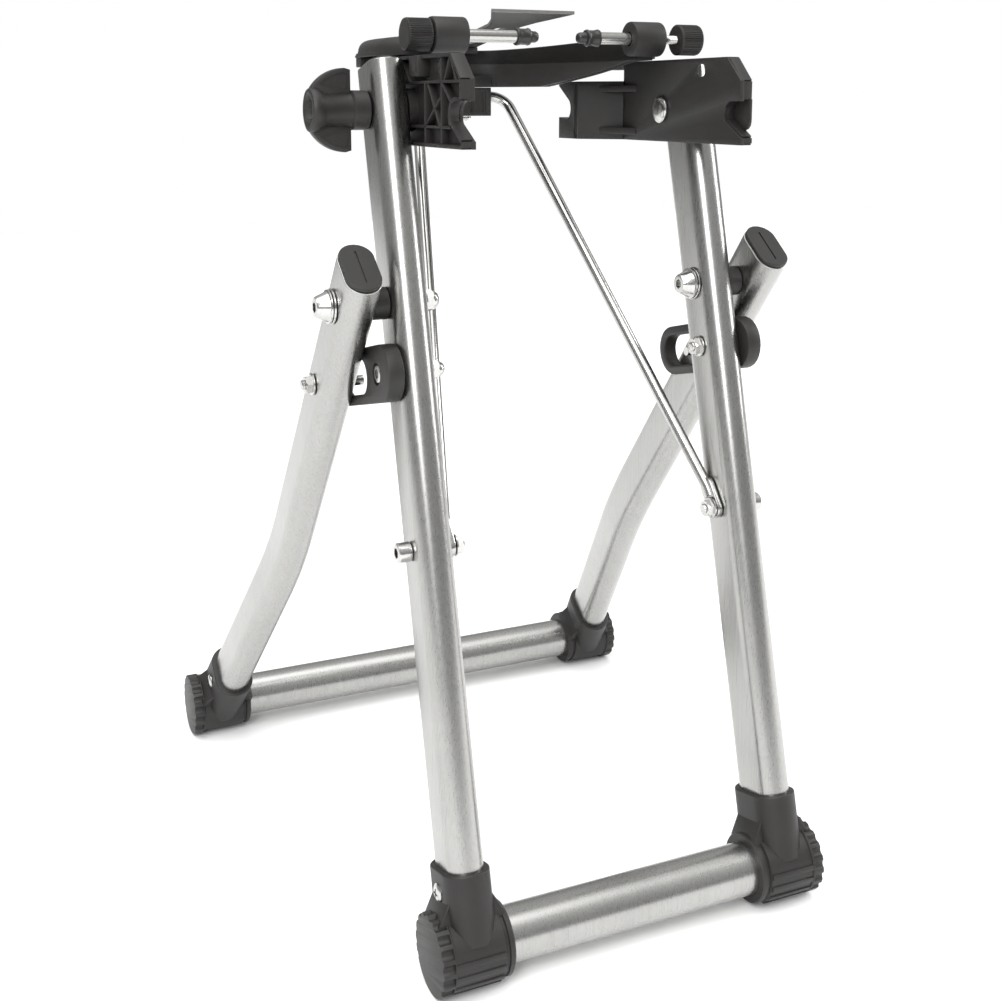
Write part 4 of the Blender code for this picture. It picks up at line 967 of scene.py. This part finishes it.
yokeParts = [yokeBand(innerLine, between(innerLine, wallLine, 0.3), 396, 440, 0.45),
             yokeBand(between(innerLine, wallLine, 0.72), wallLine, 396, 440, 0.45),
             yokeBand(innerLine, rimLine, yokeShape["rimBottom"], 440, 0.9)]
for index in range(3, 58, 4):
    start, end = between(innerLine, wallLine, 0.12)[index], between(innerLine, wallLine, 0.88)[index]
    sideways = (end - start).normalized().orthogonal() * 0.6
    outline = [tuple(start - sideways), tuple(end - sideways), tuple(end + sideways),
               tuple(start + sideways)]
    floorHeight = yokeShape["bottom"] + max(0, yokeShape["lowStart"] - start.y) * math.tan(yokeShape["lowSlope"])
    yokeParts.append(plate("rib", [outline], level, floorHeight + 1.0, 419, 0.2))
for side in (-1, 1):
    outline = [(50, -40), (56, -50), (70, -42), (77.6, -24), (78.2, -4), (77, 10), (66, 14), (52, 22),
               (44, 6)]
    knots = [Vector((side * x, y)) for x, y in outline]
    shape = yokeShape
    rounding = shape["round"]
    flat = [tuple(p) for p in knots]
    top = plate("shoulder", [flat], level, shape["shoulderTop"] - 2 * rounding - 1, shape["shoulderTop"], 0)
    soften(top, rounding - 0.2, 6, 60)
    sliced(top, (0, 0, shape["shoulderBottom"] * mm), (0, 0, -1))
    smooth(top, 40)
    flange = plate("flange", [flat], level, shape["shoulderBottom"], shape["shoulderBottom"] + 1.3, 0.3)
    low, high = sorted((side * 66, side * 77))
    skirt = block("skirt", (low, 1.5, 413), (high, 9, 420), 0.5)
    boss = turned("boss", [(0, 7.7), (0.3, 8.4), (0.9, 8.6), (16.4, 8.6), (17.1, 8.4), (17.5, 7.7)],
                  across(side * 45, feelerCentre), (side, 0, 0), 64)
    carve(boss, turned("bore", [(-1, 3.5), (19, 3.5)], across(side * 45, feelerCentre), (side, 0, 0), 40))
    smooth(boss, 30)
    yokeParts += [top, flange, skirt, boss]
yokeParts.append(block("seat", (-15, 44.9, 404.0), (15, 62.6, 409.9), 0.4))
pad = block("pad", (-9, -7.5, -4.3), (9, 8.5, -0.3), 0.4)
pad.data.transform(Matrix.Translation(bladeRoot) @ Matrix.Rotation(-sheetTilt, 4, "X"))
yokeParts.append(pad)
wear(joined("gaugeYoke", *yokeParts), plasticFinish, "gauge_head", "gauge_yoke")

blade = cadCopy("radialBlade", "radial_blade", 0.12, 1)
wear(blade, bladeFinish, "blade_slider", "radial_blade")
blade.data.materials.append(rodFinish)
for face in blade.data.polygons:
    if abs(face.normal.dot(sheetUp)) < 0.8:
        face.material_index = 1
crossHead("bladeScrew", bladeRoot + sheetUp * 0.0019, sheetUp, 4.6, 2.8, "gauge_head", "blade_screw")


def knurled(name, start, direction, radius, length, teeth):
    # a knob with straight knurling between two smooth ends
    piece = turned(name, [(0, radius - 0.7), (0.6, radius), (1.1, radius), (length - 1.2, radius),
                          (length - 0.4, radius - 0.3), (length, radius - 1.1)], start, direction,
                          teeth * 4)
    centre, axis = start, Vector(direction)
    for vertex in piece.data.vertices:
        away = vertex.co - centre
        height = away.dot(axis)
        radial = away - axis * height
        turn = math.atan2(radial.z, radial.y) / math.tau * teeth
        if 0.0010 < height < (length - 1.0) * mm and turn % 1 > 0.4:
            vertex.co -= radial.normalized() * 0.4 * mm
    smooth(piece, 20)
    return piece


feeler = {"bossFace": 62.5, "gap": 0.4, "reach": 44.7, "rod": 3.1, "thread": 2.2, "rightOut": 9.5}

for label, side, out in (("left", -1, 0), ("right", 1, feeler["rightOut"])):
    knobIn = feeler["bossFace"] + feeler["gap"] + out
    tipStart = knobIn - feeler["reach"]
    body = f"{label}_feeler"
    origin = across(side * (tipStart - 6), feelerCentre)
    rodRadius, threadRadius = feeler["rod"], feeler["thread"]
    steps = [(0, rodRadius), (35, rodRadius), (35.3, threadRadius)]
    steps += threaded(35.6, knobIn - tipStart + 11, threadRadius)
    rod = turned(label + "FeelerRod", steps, origin, (side, 0, 0), 40)
    wear(rod, rodFinish, body, f"{label}_feeler_rod")
    tip = turned(label + "FeelerTip", [(0, 3.6), (0.2, 4.1), (0.8, 4.35), (2.0, 4.1), (2.6, 3.9),
                                       (5.8, 3.9), (6.6, 4.25),
                                       (7.4, 4.0), (7.8, 2.9), (10.8, 2.7), (11.8, 2.1), (12.3, 1.0)],
                 across(side * tipStart, feelerCentre), (-side, 0, 0), 40)
    wear(tip, rubberFinish, body, f"{label}_feeler_tip")
    knobPiece = knurled(label + "FeelerKnob", across(side * knobIn, feelerCentre), (side, 0, 0), 7.75, 12.6,
                        44)
    wear(knobPiece, plasticFinish, body, f"{label}_feeler_knob")
print("gauge made")

# floor, light and camera

deselect()
bpy.ops.mesh.primitive_plane_add(size=6, location=(0, 0.6, -0.0002))
floor = bpy.context.object
floor.name = "paleFloor"
floorFinish = Finish("pale floor")
floorShade = floorFinish.ramp(floorFinish.noise(3.0, 2.0), (0.3, 0.93), (0.7, 0.96))
floorFinish.feed("Base Color", floorShade)
floorFinish.feed("Roughness", 0.9)
floor.data.materials.append(floorFinish.material)

studioLook = {"around": 0.75}
studio = bpy.data.worlds.new("studio")
bpy.context.scene.world = studio
studio.use_nodes = True
tree = studio.node_tree
tree.nodes.clear()


def worldNode(kind, settings=None, inputs=None):
    made = tree.nodes.new(kind)
    for key, value in (settings or {}).items():
        setattr(made, key, value)
    for key, value in (inputs or {}).items():
        if hasattr(value, "node"):
            tree.links.new(value, made.inputs[key])
        else:
            made.inputs[key].default_value = value
    return made


# a white backdrop to the camera, and a studio with a bright ceiling and grey walls to everything else
direction = worldNode("ShaderNodeSeparateXYZ", None,
                      {0: worldNode("ShaderNodeTexCoord").outputs["Generated"]})
gradient = worldNode("ShaderNodeValToRGB", None, {0: direction.outputs["Z"]})
for element, (place, glow) in zip(gradient.color_ramp.elements, ((0.0, 0.34), (0.75, 1.0))):
    element.position = place
    element.color = (glow, glow, glow * 0.985, 1)
around = worldNode("ShaderNodeBackground", None, {0: gradient.outputs[0], 1: studioLook["around"]})
backdrop = worldNode("ShaderNodeBackground", None, {0: (1, 1, 1, 1), 1: 1.0})
seen = worldNode("ShaderNodeLightPath").outputs["Is Camera Ray"]
mixed = worldNode("ShaderNodeMixShader", None, {0: seen, 1: around.outputs[0], 2: backdrop.outputs[0]})
worldNode("ShaderNodeOutputWorld", None, {0: mixed.outputs[0]})


def softLight(name, place, target, size, power):
    data = bpy.data.lights.new(name, "AREA")
    data.shape = "RECTANGLE"
    data.size, data.size_y = size
    data.energy = power
    light = bpy.data.objects.new(name, data)
    bpy.context.scene.collection.objects.link(light)
    light.location = place
    light.rotation_euler = (Vector(target) - Vector(place)).to_track_quat("-Z", "Y").to_euler()


softLight("keyLight", (-1.1, -1.5, 1.3), (0, 0, 0.25), (0.5, 1.3), 26)
softLight("rightLight", (1.7, -0.5, 1.0), (0, 0, 0.25), (0.35, 1.4), 16)
overhead = bpy.data.objects.new("overheadLight", bpy.data.lights.new("overheadLight", "SUN"))
overhead.data.energy = 2.3
overhead.data.angle = math.radians(70)
overhead.rotation_euler = (math.radians(8), math.radians(-12), 0)
bpy.context.scene.collection.objects.link(overhead)

view = {"place": (-0.29596, -0.65589, 0.39584), "azimuth": 24.31, "pitch": 9.75, "lens": 47.9,
        "shift": -0.17}
cameraData = bpy.data.cameras.new("camera")
cameraData.lens = view["lens"]
cameraData.sensor_width = 36
cameraData.shift_y = view["shift"]
cameraData.clip_start = 0.01
camera = bpy.data.objects.new("camera", cameraData)
bpy.context.scene.collection.objects.link(camera)
azimuth, pitch = math.radians(view["azimuth"]), math.radians(view["pitch"])
looking = Vector((math.sin(azimuth) * math.cos(pitch), math.cos(azimuth) * math.cos(pitch),
                  -math.sin(pitch)))
camera.location = view["place"]
camera.rotation_euler = looking.to_track_quat("-Z", "Y").to_euler()
bpy.context.scene.camera = camera
bpy.context.scene.view_settings.view_transform = "Standard"
print("stage set")
